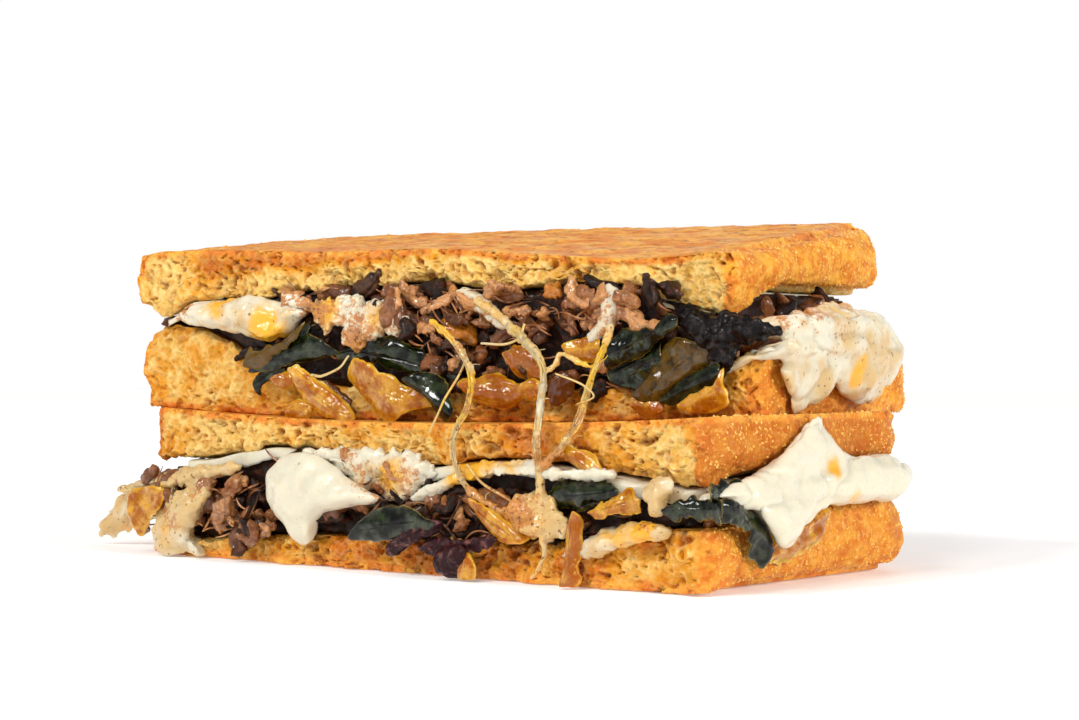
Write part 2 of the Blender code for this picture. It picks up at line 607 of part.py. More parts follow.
def lower_vegetables(parts, pepper, onion, purple):
    up = (0.25, 0, 1)
    return [
        blob(LOWER, "pepper_right", [
            [(67, 2.5, 16.6, 2.3), (72, 3.5, 17.6, 2.3), (78, 1.5, 17, 2.3), (80.5, -4, 15.4, 2.3),
             (81, -8, 12, 2.3), (81, -11.5, 7.2, 2.0)]], parts, pepper, keep=0.3),
        leaf(LOWER, "pepper_left", [(-16, 3, 6.6), (-9, 5, 10), (-1, 5.5, 12), (9, 3.5, 12)], up, 7.5,
             parts, pepper, thick=1.7, curl=2.4, seed=21),
        leaf(LOWER, "pepper_middle", [(43, 2, 17), (51, 3, 18.6), (60, 2.5, 18.4)], up, 5,
             parts, pepper, curl=1.4, seed=22),
        leaf(LOWER, "onion_petal", [(17, 3, 16.5), (23, 4.5, 13.5), (29, 4.5, 10), (34, 3.5, 8.2)], up, 7,
             parts, onion, curl=1.8, seed=23),
        leaf(LOWER, "onion_purple", [(-5, 3, 4.4), (2, 4.5, 6.4), (9, 4.5, 8), (16, 3.5, 10)], up, 4,
             parts, purple, seed=24),
        leaf(LOWER, "onion_purple_tip", [(10, 3, 7), (14, 5, 4.4), (19, 4.5, 1.8)], (1, 0, 0.8), 5,
             parts, purple, curl=1.6, seed=25),
        leaf(LOWER, "onion_right_end", [(79, -20, 13), (81.5, -27, 7.8), (81.5, -36, 7), (79.5, -43, 12)],
             (0, 0, 1), 6, parts, onion, curl=1.0, seed=26),
        leaf(LOWER, "onion_left_end", [(-82, -5, 12.6), (-80, -3, 8.6), (-77.5, 0, 4.4)], (1, -0.6, 0.2), 6,
             parts, onion, seed=27),
        leaf(LOWER, "onion_under_top_bread", [(46, 2, 26), (50, 3.5, 23.6), (53, 3, 21)], (1, 0, 0.3), 5,
             parts, onion, curl=1.4, seed=28),
        leaf(LOWER, "onion_gap", [(51, 3, 15), (57, 5, 16.6), (63, 3.5, 18.6)], up, 4, parts, onion, seed=29),
        leaf(LOWER, "onion_ribbon", [(46.5, 3, 14), (47, 5, 9), (46.3, 4.6, 4.6), (44.8, 4, 1.6)],
             (1, 0, 0.1), 3.6, parts, onion, curl=0.8, seed=30),
    ]


def beef_heaps(parts, look):
    """Each zone of shreds is a range along, a range of height, how far out, how many, and their slant."""
    upper_zones = [((-34, -12), (50, 54), 1.5, 5, -20), ((-12, 18), (44, 54), 4, 14, -40),
                   ((16, 64), (49, 57), 3.5, 16, -10), ((6, 64), (38, 47), 3, 14, 10),
                   ((64, 78), (46, 52), 1, 4, 0)]
    lower_zones = [((-78, -34), (6, 18), 4.5, 22, 30), ((-34, 8), (15, 21), 3, 9, 0),
                   ((-6, 56), (9, 16), 2.8, 12, 10)]
    upper_bulge = [(-72, 0), (-40, 0.6), (-10, 2.2), (30, 2.6), (60, 1.6), (84, 0)]
    lower_bulge = [(-77, 2.5), (-58, 3), (-40, 2.2), (-10, 1.2), (30, 1.6), (60, 1), (78, 0)]
    return [beef_heap(UPPER, UPPER_BOTTOM, UPPER_TOP, 3.0, upper_bulge, upper_zones, 41, parts, look),
            beef_heap(LOWER, LOWER_BOTTOM, LOWER_TOP, 2.5, lower_bulge, lower_zones, 42, parts, look)]


def main():
    clear_scene()
    parts = new_collection("beef_pepper_and_cheese_sandwich")
    cutters = new_collection("cutters")
    cutters.hide_render = True
    toast = material("griddled_bread", TOAST)
    beef = material("shredded_beef", BEEF)
    cheese = material("melted_cheese", CHEESE)
    pepper = material("roast_pepper", PEPPER)
    onion = material("soft_onion", ONION)
    charred = material("charred_onion", CHARRED)
    purple = material("purple_onion", PURPLE)
    placed = make_breads(parts, toast)
    rest = [*upper_cheese(parts, cheese), *lower_cheese(parts, cheese), cheese_web(parts, cheese)]
    rest += upper_vegetables(parts, pepper, onion, charred)
    rest += lower_vegetables(parts, pepper, onion, purple)
    for piece in rest:
        placed.append(cut_clear(piece, placed, cutters, CUT_ROOM))
    for heap in beef_heaps(parts, beef):
        cut_clear(heap, placed, cutters, HEAP_ROOM)
        placed.append(cut_clear(heap, placed, cutters, LEAST_ROOM))


main()
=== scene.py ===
"""A griddled beef, pepper, onion and cheese sandwich, cut in two, with one half standing on the other.

A place is in metres in the model's frame, or in millimetres in the frame of one half: "along" runs from left
to right on the cut face, "out" is how far a point stands in front of it, and height is above the table.
"""

import math
import random

import bmesh
import bpy
import numpy as np
from mathutils import Matrix, Vector


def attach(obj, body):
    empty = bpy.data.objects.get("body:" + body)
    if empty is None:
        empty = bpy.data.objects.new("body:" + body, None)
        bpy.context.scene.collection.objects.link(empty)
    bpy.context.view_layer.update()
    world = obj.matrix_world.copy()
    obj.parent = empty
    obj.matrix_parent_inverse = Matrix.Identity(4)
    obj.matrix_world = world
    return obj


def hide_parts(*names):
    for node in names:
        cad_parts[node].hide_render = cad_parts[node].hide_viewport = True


bl_info = {
    "name": "Griddled beef and cheese sandwich",
    "version": (1, 0, 0),
    "blender": (4, 5, 0),
    "location": "View3D > Sidebar > Sandwich",
    "description": "Builds the two stacked halves of a griddled sandwich and a plain stage",
    "category": "Add Mesh",
}

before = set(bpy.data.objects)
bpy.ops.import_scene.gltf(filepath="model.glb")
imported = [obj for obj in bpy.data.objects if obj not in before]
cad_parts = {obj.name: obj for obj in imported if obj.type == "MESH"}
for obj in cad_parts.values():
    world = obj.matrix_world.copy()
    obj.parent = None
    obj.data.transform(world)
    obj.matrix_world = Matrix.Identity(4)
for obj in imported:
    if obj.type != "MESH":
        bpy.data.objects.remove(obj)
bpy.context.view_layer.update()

MM = 0.001
# Millimetres: the depth of a half, its cut face, back and right end crust, its corners, the crust's rounding,
# the finely meshed depth behind a cut, and the gap between cheese and slice.
HALF_DEPTH = 76.0
FRONT = -33.5
BACK = FRONT + HALF_DEPTH
END_CRUST = 77.5
BACK_CORNER = 13.0
FRONT_CORNER = 3.0
CRUST_ROUND = 4.5
CUT_ZONE = 11
CHEESE_GAP = 0.35
UPPER_TURN = math.radians(8)
UPPER_SHIFT = (-13.9, 10.5, 0.0)
# The curved seam where one half stands on the other, and the hair's breadth between them.
SEAM_LOW, SEAM_SAG, SEAM_REACH, SEAM_GAP = 30.4, 2.4, 78.0, 0.04
# Lattice counts of a slice: along, rows near the cut, rows behind them, and in height.
SLICE_COUNTS = 330, 20, 34, 62
CHEESE_COUNTS = 210, 44, 4
CHEESE_INSET = 7
CORE_COUNTS = 120, 40, 10
CORE_INSET = 6
# How far apart the balls of a melted chain stand, as a share of its smallest radius.
BALL_SPACING = 0.3
# The first shred shapes are fine, for the cut face; the others are plainer, for the sides.
FINE_SHREDS, PLAIN_SHREDS = 10, 4
SHRED_LIFT = 50
# The stage, in metres, and how far the photo's camera is turned from the front.
FLOOR_RADIUS = 3
FLOOR_HEIGHT = -0.0002
VIEW_TURN = math.radians(40)
NOISE_TILT = np.array(Matrix.Rotation(0.7, 3, Vector((0.3, 0.8, 0.5))))


# Numbers, curves and noise.

def tone(red, green, blue):
    """A linear colour from the values that a colour picker shows."""
    shares = [part / 255 for part in (red, green, blue)]
    return tuple(s / 12.92 if s <= 0.04045 else ((s + 0.055) / 1.055) ** 2.4 for s in shares)


def smoothstep(t):
    t = np.clip(t, 0.0, 1.0)
    return t * t * (3 - 2 * t)


def profile(stations, along):
    """Heights on a smooth curve through stations, each a pair of millimetres (along, height)."""
    xs, ys = np.array(stations, float).T
    x = np.clip(along, xs[0], xs[-1])
    slopes = np.gradient(ys, xs)
    i = np.clip(np.searchsorted(xs, x, side="right") - 1, 0, len(xs) - 2)
    span = xs[i + 1] - xs[i]
    t = (x - xs[i]) / span
    rise = (1 + 2 * t) * (1 - t) ** 2 * ys[i] + t * t * (3 - 2 * t) * ys[i + 1]
    return rise + span * (t * (1 - t) ** 2 * slopes[i] - t * t * (1 - t) * slopes[i + 1])


def smooth_line(points, count):
    """Rows read evenly from a smooth curve through the given rows."""
    given = np.array(points, float)
    if len(given) == 1:
        return given
    knots = np.linspace(0, 1, len(given))
    read = np.linspace(0, 1, count)
    return np.stack([profile(list(zip(knots, column)), read) for column in given.T], -1)


def cell_value(cells, seed):
    """A number from 0 to 1 that belongs to each whole-number cell."""
    n = cells[..., 0] * 374761393 + cells[..., 1] * 668265263 + cells[..., 2] * 1442695041 + seed * 974634777
    n = (n ^ (n >> 13)) * 1274126177
    n = n ^ (n >> 16)
    return (n & 0xFFFFFF) / float(0xFFFFFF)


def lumps(places, size, seed):
    """Smooth noise from -1 to 1 whose lumps are about size across, in the unit of the places."""
    scaled = (places @ NOISE_TILT) / size
    base = np.floor(scaled).astype(np.int64)
    part = scaled - base
    ease = part * part * (3 - 2 * part)
    total = np.zeros(len(places))
    for corner in range(8):
        step = np.array([corner & 1, corner >> 1 & 1, corner >> 2])
        share = np.prod(np.where(step == 1, ease, 1 - ease), axis=-1)
        total += share * cell_value(base + step, seed)
    return total * 2 - 1


def crags(places, size, seed):
    """Noise from 0 to 1 with thin ridges, like torn crumb."""
    return 1 - np.abs(lumps(places, size, seed)) * 1.4


def bubbles(places, spacing, seed, smallest, largest, share):
    """A field of round bubbles: 0 outside, 1 at the middle of one. Radii are shares of the spacing."""
    scaled = (places @ NOISE_TILT) / spacing
    base = np.floor(scaled).astype(np.int64)
    deepest = np.zeros(len(places))
    for number in range(27):
        cell = base + np.array([number % 3 - 1, number // 3 % 3 - 1, number // 9 - 1])
        jitter = np.stack([cell_value(cell, seed + k) for k in (1, 2, 3)], -1)
        radius = smallest + (largest - smallest) * cell_value(cell, seed + 4) ** 2
        away = np.linalg.norm(scaled - cell - jitter, axis=-1) / radius
        kept = cell_value(cell, seed + 5) < share
        deepest = np.maximum(deepest, np.where(kept, 1 - away * away, 0))
    return deepest


# The two halves and their slices.

class Half:
    """One half's frame."""

    def __init__(self, turn, shift):
        c, s = math.cos(turn), math.sin(turn)
        self.turn = np.array([[c, -s, 0], [s, c, 0], [0, 0, 1]])
        self.shift = np.array(shift)

    def world(self, own):
        """Model places in metres of points in millimetres on this half's own axes."""
        return (np.asarray(own, float) @ self.turn.T + self.shift) * MM

    def at(self, points):
        """Model places in metres of points given as millimetres (along, out, height)."""
        given = np.asarray(points, float)
        return self.world(np.stack([given[..., 0], FRONT - given[..., 1], given[..., 2]], -1))

    def local(self, places):
        """Millimetres (along, out, height) of places in the model."""
        own = (np.asarray(places) / MM - self.shift) @ self.turn
        return np.stack([own[..., 0], FRONT - own[..., 1], own[..., 2]], -1)

    def direction(self, along, out, height):
        way = self.turn @ np.array([along, -out, height], float)
        return way / np.linalg.norm(way)


LOWER = Half(0.0, (0, 0, 0))
UPPER = Half(UPPER_TURN, UPPER_SHIFT)


class Slice:
    """One slice of bread: its ends along the cut, and its faces, each a rule.

    A rule is a profile at the cut face, a profile further back and the depth over which one eases into the
    other, or the name of a surface that the slice rests on or carries.
    """

    def __init__(self, name, node, half, ends, back, below, above, griddled, seed, tints):
        self.name, self.node, self.half, self.back = name, node, half, back
        self.left, self.right = ends
        self.below, self.above = below, above
        self.griddled, self.seed, self.tints = griddled, seed, tints

    def face(self, rule, along, deep):
        if rule == "table":
            return np.zeros_like(along)
        if rule in ("on_seam", "under_seam"):
            x = self.half.world(np.stack([along, deep, np.zeros_like(along)], -1))[..., 0] / MM
            lift = SEAM_GAP if rule == "on_seam" else -SEAM_GAP
            return SEAM_LOW + SEAM_SAG * np.minimum(np.abs(x) / SEAM_REACH, 1) ** 2 + lift
        front, rear, ease = rule
        share = (deep - FRONT) / ease
        share = smoothstep(share) if ease < HALF_DEPTH else np.clip(share, 0, 1)
        return profile(front, along) * (1 - share) + profile(rear, along) * share

    def bottom(self, along, deep):
        return self.face(self.below, along, deep)

    def top(self, along, deep):
        return self.face(self.above, along, deep)


# Tints are (along, height, reach along, reach in height, butter, pale): soaked patches and dry pale ones.
LOWER_BOTTOM = Slice(
    "bread_lower_bottom", "lower_half_bottom_bread", LOWER, (-END_CRUST, END_CRUST), BACK, "table",
    ([(-77.5, 5), (-62, 4), (-48, 4.5), (-34, 6), (-10, 6.4), (18, 7), (48, 8.8), (68, 11.6), (77.5, 12.4)],
     [(-77.5, 10), (0, 12), (50, 13), (77.5, 17)], 34), -1, 1,
    [(68, 9, 9, 7, 0.0, 0.3), (40, 4, 16, 6, 0.5, 0.0), (0, 3, 20, 5, 0.4, 0.0), (0, 3, 300, 90, 0.3, 0.0)])
LOWER_TOP = Slice(
    "bread_lower_top", "lower_half_top_bread", LOWER, (-77, 78), BACK - 2,
    ([(-77, 21.4), (-60, 22), (-40, 25), (-12, 23), (4, 22), (24, 24), (46, 23), (60, 21.3), (78, 19.3)],
     [(-77, 20), (0, 20.5), (78, 22)], 30), "under_seam", 1, 2,
    [(-58, 27, 20, 6, 0.0, 0.35), (70, 26, 8, 7, 0.0, 0.5), (44, 26, 14, 6, 0.7, 0.0),
     (0, 27, 300, 90, 0.12, 0.0)])
UPPER_BOTTOM = Slice(
    "bread_upper_bottom", "upper_half_bottom_bread", UPPER, (-72.5, 84), BACK, "on_seam",
    ([(-72.5, 49.4), (-60, 50.6), (-50, 48), (-38, 41.5), (-20, 37.8), (20, 37.2), (54, 38), (66, 41),
      (84, 45.4)],
     [(-72.5, 46), (0, 44), (84, 45.4)], 34), -1, 3,
    [(-60, 44, 14, 5, 0.0, 0.3), (80, 38, 8, 7, 0.3, 0.0), (0, 40, 300, 90, 0.2, 0.0)])
UPPER_TOP = Slice(
    "bread_upper_top", "upper_half_top_bread", UPPER, (-75, 78), BACK,
    ([(-75, 56.6), (-64, 53.2), (-58, 55.8), (-40, 56.6), (-22, 58.4), (6, 59.4), (22, 57.6), (48, 58.6),
      (58, 57.2), (68, 53.8), (78, 50.8)],
     [(-75, 59.5), (0, 58.5), (78, 57)], 26),
    ([(-75, 67), (-56, 67.4), (-20, 66.2), (5, 66.2), (38, 64), (56, 63), (78, 64.2)],
     [(-75, 74.5), (0, 74.5), (78, 74)], 76), 1, 4,
    [(-68, 61, 7, 8, 0.0, 0.9), (-40, 64, 18, 3.2, 0.95, 0.0), (-35, 59, 14, 3, 0.1, 0.5),
     (15, 65, 45, 2.0, 0.6, 0.0), (15, 60.5, 45, 3.2, 0.0, 0.75), (72, 58, 8, 8, 0.0, 0.7)])
SLICES = (LOWER_BOTTOM, LOWER_TOP, UPPER_BOTTOM, UPPER_TOP)


# Making meshes and turning them into finished pieces.

def new_mesh(name, points, faces, look):
    mesh = bpy.data.meshes.new(name)
    corners = faces.tolist() if isinstance(faces, np.ndarray) else faces
    mesh.from_pydata(np.asarray(points, float).tolist(), [], corners)
    mesh.materials.append(look)
    mesh.shade_smooth()
    return mesh


def new_object(name, mesh):
    obj = bpy.data.objects.new(name, mesh)
    bpy.context.scene.collection.objects.link(obj)
    return obj


def finish_piece(obj, slot_name, *nodes):
    """Hands a finished mesh to the frame: its body, and the solids it stands for, which it hides. The
    finish's slot name is not used.
    """
    if nodes:
        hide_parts(*nodes)
    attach(obj, "root")
    return obj


def evaluated_mesh(obj):
    """The mesh that the object's modifiers give, with the modifiers taken off."""
    bpy.context.view_layer.update()
    graph = bpy.context.evaluated_depsgraph_get()
    mesh = bpy.data.meshes.new_from_object(obj.evaluated_get(graph), depsgraph=graph)
    obj.modifiers.clear()
    obj.data = mesh
    return mesh


def points_of(mesh):
    found = np.empty(len(mesh.vertices) * 3)
    mesh.vertices.foreach_get("co", found)
    return found.reshape(-1, 3)


def normals_of(mesh):
    found = np.empty(len(mesh.vertices) * 3, np.float32)
    mesh.vertex_normals.foreach_get("vector", found)
    return found.reshape(-1, 3).astype(float)


def move_points(mesh, points):
    mesh.vertices.foreach_set("co", np.asarray(points, np.float32).ravel())
    mesh.update()


def add_value(mesh, label, values):
    layer = mesh.attributes.get(label) or mesh.attributes.new(label, "FLOAT", "POINT")
    layer.data.foreach_set("value", np.asarray(values, np.float32))


def box_lattice(counts):
    """Lattice rows (i, j, k) on the six faces of a box, and the outward quads between them."""
    keys, quads = [], []
    step = np.array([(counts[1] + 1) * (counts[2] + 1), counts[2] + 1, 1])
    for axis in range(3):
        b, c = (axis + 1) % 3, (axis + 2) % 3
        rows, columns = np.meshgrid(np.arange(counts[b] + 1), np.arange(counts[c] + 1), indexing="ij")
        for end in (0, counts[axis]):
            flat = end * step[axis] + rows * step[b] + columns * step[c]
            corners = [flat[:-1, :-1], flat[1:, :-1], flat[1:, 1:], flat[:-1, 1:]]
            corners = corners if end else corners[::-1]
            keys.append(flat.ravel())
            quads.append(np.stack([corner.ravel() for corner in corners], -1))
    unique = np.unique(np.concatenate(keys))
    faces = np.searchsorted(unique, np.concatenate(quads))
    lattice = np.stack([unique // step[0], unique % step[0] // step[1], unique % step[1]], -1)
    return lattice, faces


def round_corner(along, deep, left, right, front, back):
    """Squeezes the corner squares of the plan into quarter discs."""
    along, deep = along.copy(), deep.copy()
    for edge_a, side_a in ((left, -1), (right, 1)):
        for edge_b, side_b, radius in ((front, -1, FRONT_CORNER), (back, 1, BACK_CORNER)):
            over_a = (along - (edge_a - side_a * radius)) * side_a / radius
            over_b = (deep - (edge_b - side_b * radius)) * side_b / radius
            inside = (over_a > 0) & (over_b > 0)
            disc_a = over_a * np.sqrt(np.maximum(1 - over_b * over_b / 2, 0))
            disc_b = over_b * np.sqrt(np.maximum(1 - over_a * over_a / 2, 0))
            along = np.where(inside, edge_a - side_a * radius * (1 - disc_a), along)
            deep = np.where(inside, edge_b - side_b * radius * (1 - disc_b), deep)
    return along, deep


# Bread.

def slice_rows(fine, coarse):
    """Shares of the depth: close rows behind the cut face, wider ones further back."""
    border = CUT_ZONE / HALF_DEPTH
    near = np.linspace(0, border, fine, endpoint=False)
    far = border + (1 - border) * np.linspace(0, 1, coarse)
    return np.concatenate([near, far])


def make_slice(bread, look, pore_size, relief):
    """A slice as one lattice box: rounded, torn on the cut face, and crusted on its other sides."""
    rows = slice_rows(*SLICE_COUNTS[1:3])
    counts = (SLICE_COUNTS[0], len(rows) - 1, SLICE_COUNTS[3])
    lattice, faces = box_lattice(counts)
    u = lattice[:, 0] / counts[0] * 2 - 1
    w = lattice[:, 2] / counts[2] * 2 - 1
    along = bread.left + (bread.right - bread.left) * (u + 1) / 2
    deep = FRONT + (bread.back - FRONT) * rows[lattice[:, 1]]
    low, high = bread.bottom(along, deep), bread.top(along, deep)
    from_end = np.minimum(along - bread.left, bread.right - along)
    from_back, from_cut = bread.back - deep, deep - FRONT
    near_end, near_back = smoothstep(1 - from_end / 8), smoothstep(1 - from_back / 8)
    along, deep = round_corner(along, deep, bread.left, bread.right, FRONT, bread.back)
    height = low + (high - low) * (w + 1) / 2
    inset = CRUST_ROUND * (1 - np.sqrt(1 - 0.96 * w * w)) * (0.25 + 0.75 * smoothstep(from_cut / 14))
    seam = (bread.above == "under_seam") & (w > 0) | (bread.below == "on_seam") & (w < 0)
    inset = np.where(seam, 0.25 * inset, inset)
    along -= np.sign(along) * inset * near_end
    deep -= inset * near_back
    height -= np.where(seam, 0, 0.5 * inset * w) * np.maximum(near_end, near_back)
    own = np.stack([along, deep, height], -1)

    # The torn crumb of the cut face, with its bubbles.
    cut = np.exp(-from_cut / 0.9)
    face = cut > 0.02
    torn, pit, rise = np.zeros((3, len(own)))
    open_crumb = np.ones(len(own))
    here = own[face]
    warped = here + 1.3 * np.stack([lumps(here, 2.2, bread.seed + k) for k in (41, 42, 43)], -1)
    warped += 0.5 * np.stack([lumps(here, 0.9, bread.seed + k) for k in (44, 45, 46)], -1)
    pit[face] = np.maximum(bubbles(warped, 3.3 * pore_size, bread.seed, 0.12, 0.7, 0.55),
                           0.8 * bubbles(warped, 1.6 * pore_size, bread.seed + 9, 0.15, 0.66, 0.85))
    rise[face] = (0.7 * crags(here, 2.1, bread.seed + 5) + 0.5 * crags(here, 1.0, bread.seed + 6)
                  + 0.35 * lumps(here, 0.55, bread.seed + 7) - 0.25)
    open_crumb[face] = 0.55 + 0.75 * smoothstep(0.5 + 0.9 * lumps(here, 9, bread.seed + 17))
    torn[face] = 1.6 * lumps(here, 8, bread.seed + 1) + 1.2 * lumps(here, 3.8, bread.seed + 2)
    pit *= open_crumb
    torn += relief * (0.7 * rise * (0.4 + 0.6 * open_crumb) - 2.1 * pit)
    griddled_side = w * bread.griddled
    lip = np.abs(w) ** 10 * np.where(griddled_side > 0, 0.35, 1.1)
    deep -= (torn - lip) * cut
    loose = smoothstep((1 - griddled_side) / 2) * cut
    height += loose * (1.3 * lumps(own, 4.5, bread.seed + 3) + 0.8 * lumps(own, 1.6, bread.seed + 4)
                       + 0.35 * lumps(own, 0.8, bread.seed + 8))
    outline = 1.1 * lumps(own, 9, bread.seed + 15) + 0.7 * lumps(own, 3.2, bread.seed + 16) - 0.6
    along += np.sign(along) * outline * near_end
    deep += outline * near_back
    places = bread.half.world(np.stack([along, deep, height], -1))
    mesh = new_mesh(bread.name, places, faces, look)

    # Crusts: a rough rind at the ends and back, and a blistered griddled face.
    rind = np.maximum(np.exp(-from_end / np.where(u < 0, 3.6, 2.7)), np.exp(-from_back / 2.2))
    from_griddle = (1 - griddled_side) / 2 * (high - low)
    griddle = np.exp(-from_griddle / (2.0 if bread.below == "table" else 1.35))
    rough = (0.55 * crags(own, 3.2, bread.seed + 11) + 0.25 * lumps(own, 1.1, bread.seed + 12)) - 0.25
    blister = 0.35 * lumps(own, 5, bread.seed + 13) + 0.18 * lumps(own, 1.6, bread.seed + 14)
    held = (bread.below in ("table", "on_seam")) * (w < -0.9) | (bread.above == "under_seam") * (w > 0.9)
    off_cut = 1 - np.exp(-from_cut / 1.5)
    push = rind * off_cut * rough * 0.6 + (np.abs(w) > 0.98) * blister * off_cut * 0.8
    places = points_of(mesh) + normals_of(mesh) * (np.where(held, 0, push) * MM)[:, None]
    places[:, 2] = np.maximum(places[:, 2], 0)
    move_points(mesh, places)

    butter = 0.42 + 0.55 * lumps(own, 8, bread.seed + 21) + 0.35 * lumps(own, 3.2, bread.seed + 22)
    for middle, level, wide, tall, wet, pale in bread.tints:
        butter += np.exp(-(((along - middle) / wide) ** 2 + ((height - level) / tall) ** 2)) * (wet - pale)
    umber = 0.6 if bread.above == "under_seam" else 0.25 if bread.below == "table" else 0.0
    values = {"pit": pit, "rise": rise, "griddle": griddle, "rind": rind, "butter": np.clip(butter, 0, 1.3),
              "umber": np.full(len(own), umber),
              "grain": rind * off_cut * (0.4 + 0.6 * (lumps(own, 9, bread.seed + 31) > -0.2))}
    for label, amounts in values.items():
        add_value(mesh, label, amounts)
    return new_object(bread.name, mesh)


# Thin sheets and melted lumps.

def loft(rings):
    """Points and faces of a skin through closed rings, rows of equal length, with a pole at each end."""
    rings = np.asarray(rings)
    count, around = rings.shape[:2]
    points = np.concatenate([rings.reshape(-1, 3), rings[0].mean(0)[None], rings[-1].mean(0)[None]])
    faces = []
    for n in range(count - 1):
        for m in range(around):
            k = (m + 1) % around
            faces.append((n * around + m, n * around + k, (n + 1) * around + k, (n + 1) * around + m))
    first, last = len(points) - 2, len(points) - 1
    for m in range(around):
        k = (m + 1) % around
        faces.append((first, k, m))
        faces.append((last, (count - 1) * around + m, (count - 1) * around + k))
    return points, faces


def outward(mesh):
    """Turns all faces outwards."""
    shape = bmesh.new()
    shape.from_mesh(mesh)
    bmesh.ops.recalc_face_normals(shape, faces=shape.faces)
    shape.to_mesh(mesh)
    shape.free()
    return mesh


def closed_curve(points, count):
    """A smooth closed curve through the points, read evenly along its length."""
    given = np.array(points, float)
    looped = np.concatenate([given[-3:], given, given[:4]])
    knots = np.arange(len(looped)) - 3.0
    read = np.linspace(0, len(given), 1500, endpoint=False)
    fine = np.stack([profile(list(zip(knots, column)), read) for column in looped.T], -1)
    closed = np.concatenate([fine, fine[:1]])
    gone = np.append(0, np.cumsum(np.linalg.norm(np.diff(closed, axis=0), axis=1)))
    even = np.linspace(0, gone[-1], count, endpoint=False)
    return np.stack([np.interp(even, gone, column) for column in closed.T], -1)


def make_sheet(name, half, outline, out, look, end=None, thick=0.9, flat=6.0, lean=(0.0, 0.0), curl=0.8,
               ripple=0.5, crinkle=0.07, ridge=0.0, spacing=1.5, way=None, fold=0.0, frill=0.3, seed=0,
               rings=14, around=150, paint=None):
    """A thin piece with an outline of (along, height), standing so far out in front of the cut face.

    With an end, the outline is (how far behind the cut face, height) and the piece stands on the end crust.
    Flat is how evenly thick it is, curl how far its long sides fall back, and fold how sharply it is
    creased. Ridge and spacing shape its veins, which run at the angle way, and frill tears its rim.
    """
    edge = closed_curve(outline, around)
    centre = edge.mean(0)
    axes = np.linalg.svd(edge - centre, full_matrices=False)[2]
    if way is None:
        way = math.atan2(axes[0][1], axes[0][0])
    long, wide = (np.abs((edge - centre) @ axis).max() for axis in axes)
    reach = max(long - wide * 1.2, 0)
    inner = centre + np.clip((edge - centre) @ axes[0], -reach, reach)[:, None] * axes[0]
    spot = np.stack([edge[:, 0], np.full(around, 7.0), edge[:, 1]], -1)
    ragged = frill * (lumps(spot, 1.8, seed + 1) + 0.6 * lumps(spot, 0.8, seed + 2))
    edge = edge + (edge - inner) / np.linalg.norm(edge - inner, axis=1)[:, None] * ragged[:, None]
    share = np.sin(np.linspace(0.04, 1, rings) * math.pi / 2)
    share = np.concatenate([share, share[-2::-1]])
    side = np.where(np.arange(len(share)) < rings, 1.0, -1.0)
    plane = inner[None] + (edge - inner)[None] * share[:, None, None]
    own = np.stack([plane[..., 0], np.zeros(plane.shape[:2]), plane[..., 1]], -1).reshape(-1, 3)
    off = plane - centre
    across = off[..., 1] * math.cos(way) - off[..., 0] * math.sin(way)
    flat_own = own.reshape(*plane.shape[:2], 3)
    stand = out + lean[0] * off[..., 0] + lean[1] * off[..., 1] - curl * (across / wide) ** 2
    stand += (ripple * (lumps(own, 6, seed + 3) + 0.4 * lumps(own, 2.6, seed + 4))).reshape(across.shape)
    stand -= fold * (np.sqrt(across ** 2 + 0.1) - wide * 0.4)
    vein = across / spacing + 0.3 * lumps(own, 4, seed + 5).reshape(across.shape)
    stand += ridge * np.cos(vein * 2 * math.pi) * side[:, None]
    wall = side * thick / 2 * np.sqrt(np.maximum(1 - share ** flat, 0))
    stand += wall[:, None] * (1 + 0.25 * lumps(own, 2.5, seed + 6)).reshape(across.shape)
    height = np.maximum(flat_own[..., 2], 0.3)
    if end is None:
        rows = half.at(np.stack([flat_own[..., 0], stand, height], -1))
    else:
        rows = half.at(np.stack([end + stand, -flat_own[..., 0], height], -1))
    points, faces = loft(rows)
    mesh = outward(new_mesh(name, points, faces, look))
    here = points_of(mesh) / MM
    fine = crinkle * (lumps(here, 1.2, seed + 7) + 0.5 * lumps(here, 0.6, seed + 8))
    move_points(mesh, points_of(mesh) + normals_of(mesh) * (fine * MM)[:, None])
    add_value(mesh, "rim", smoothstep((np.append(np.repeat(share, around), [0, 0]) - 0.8) / 0.2))
    add_value(mesh, "across", np.append(vein.ravel() / 3, [0, 0]))
    for label, amount in (paint or {}).items():
        add_value(mesh, label, np.full(len(points), amount))
    return new_object(name, mesh)


def ball_template():
    shape = bmesh.new()
    bmesh.ops.create_icosphere(shape, subdivisions=2, radius=1.0)
    points = np.array([vert.co[:] for vert in shape.verts])
    faces = np.array([[vert.index for vert in face.verts] for face in shape.faces])
    shape.free()
    return points, faces


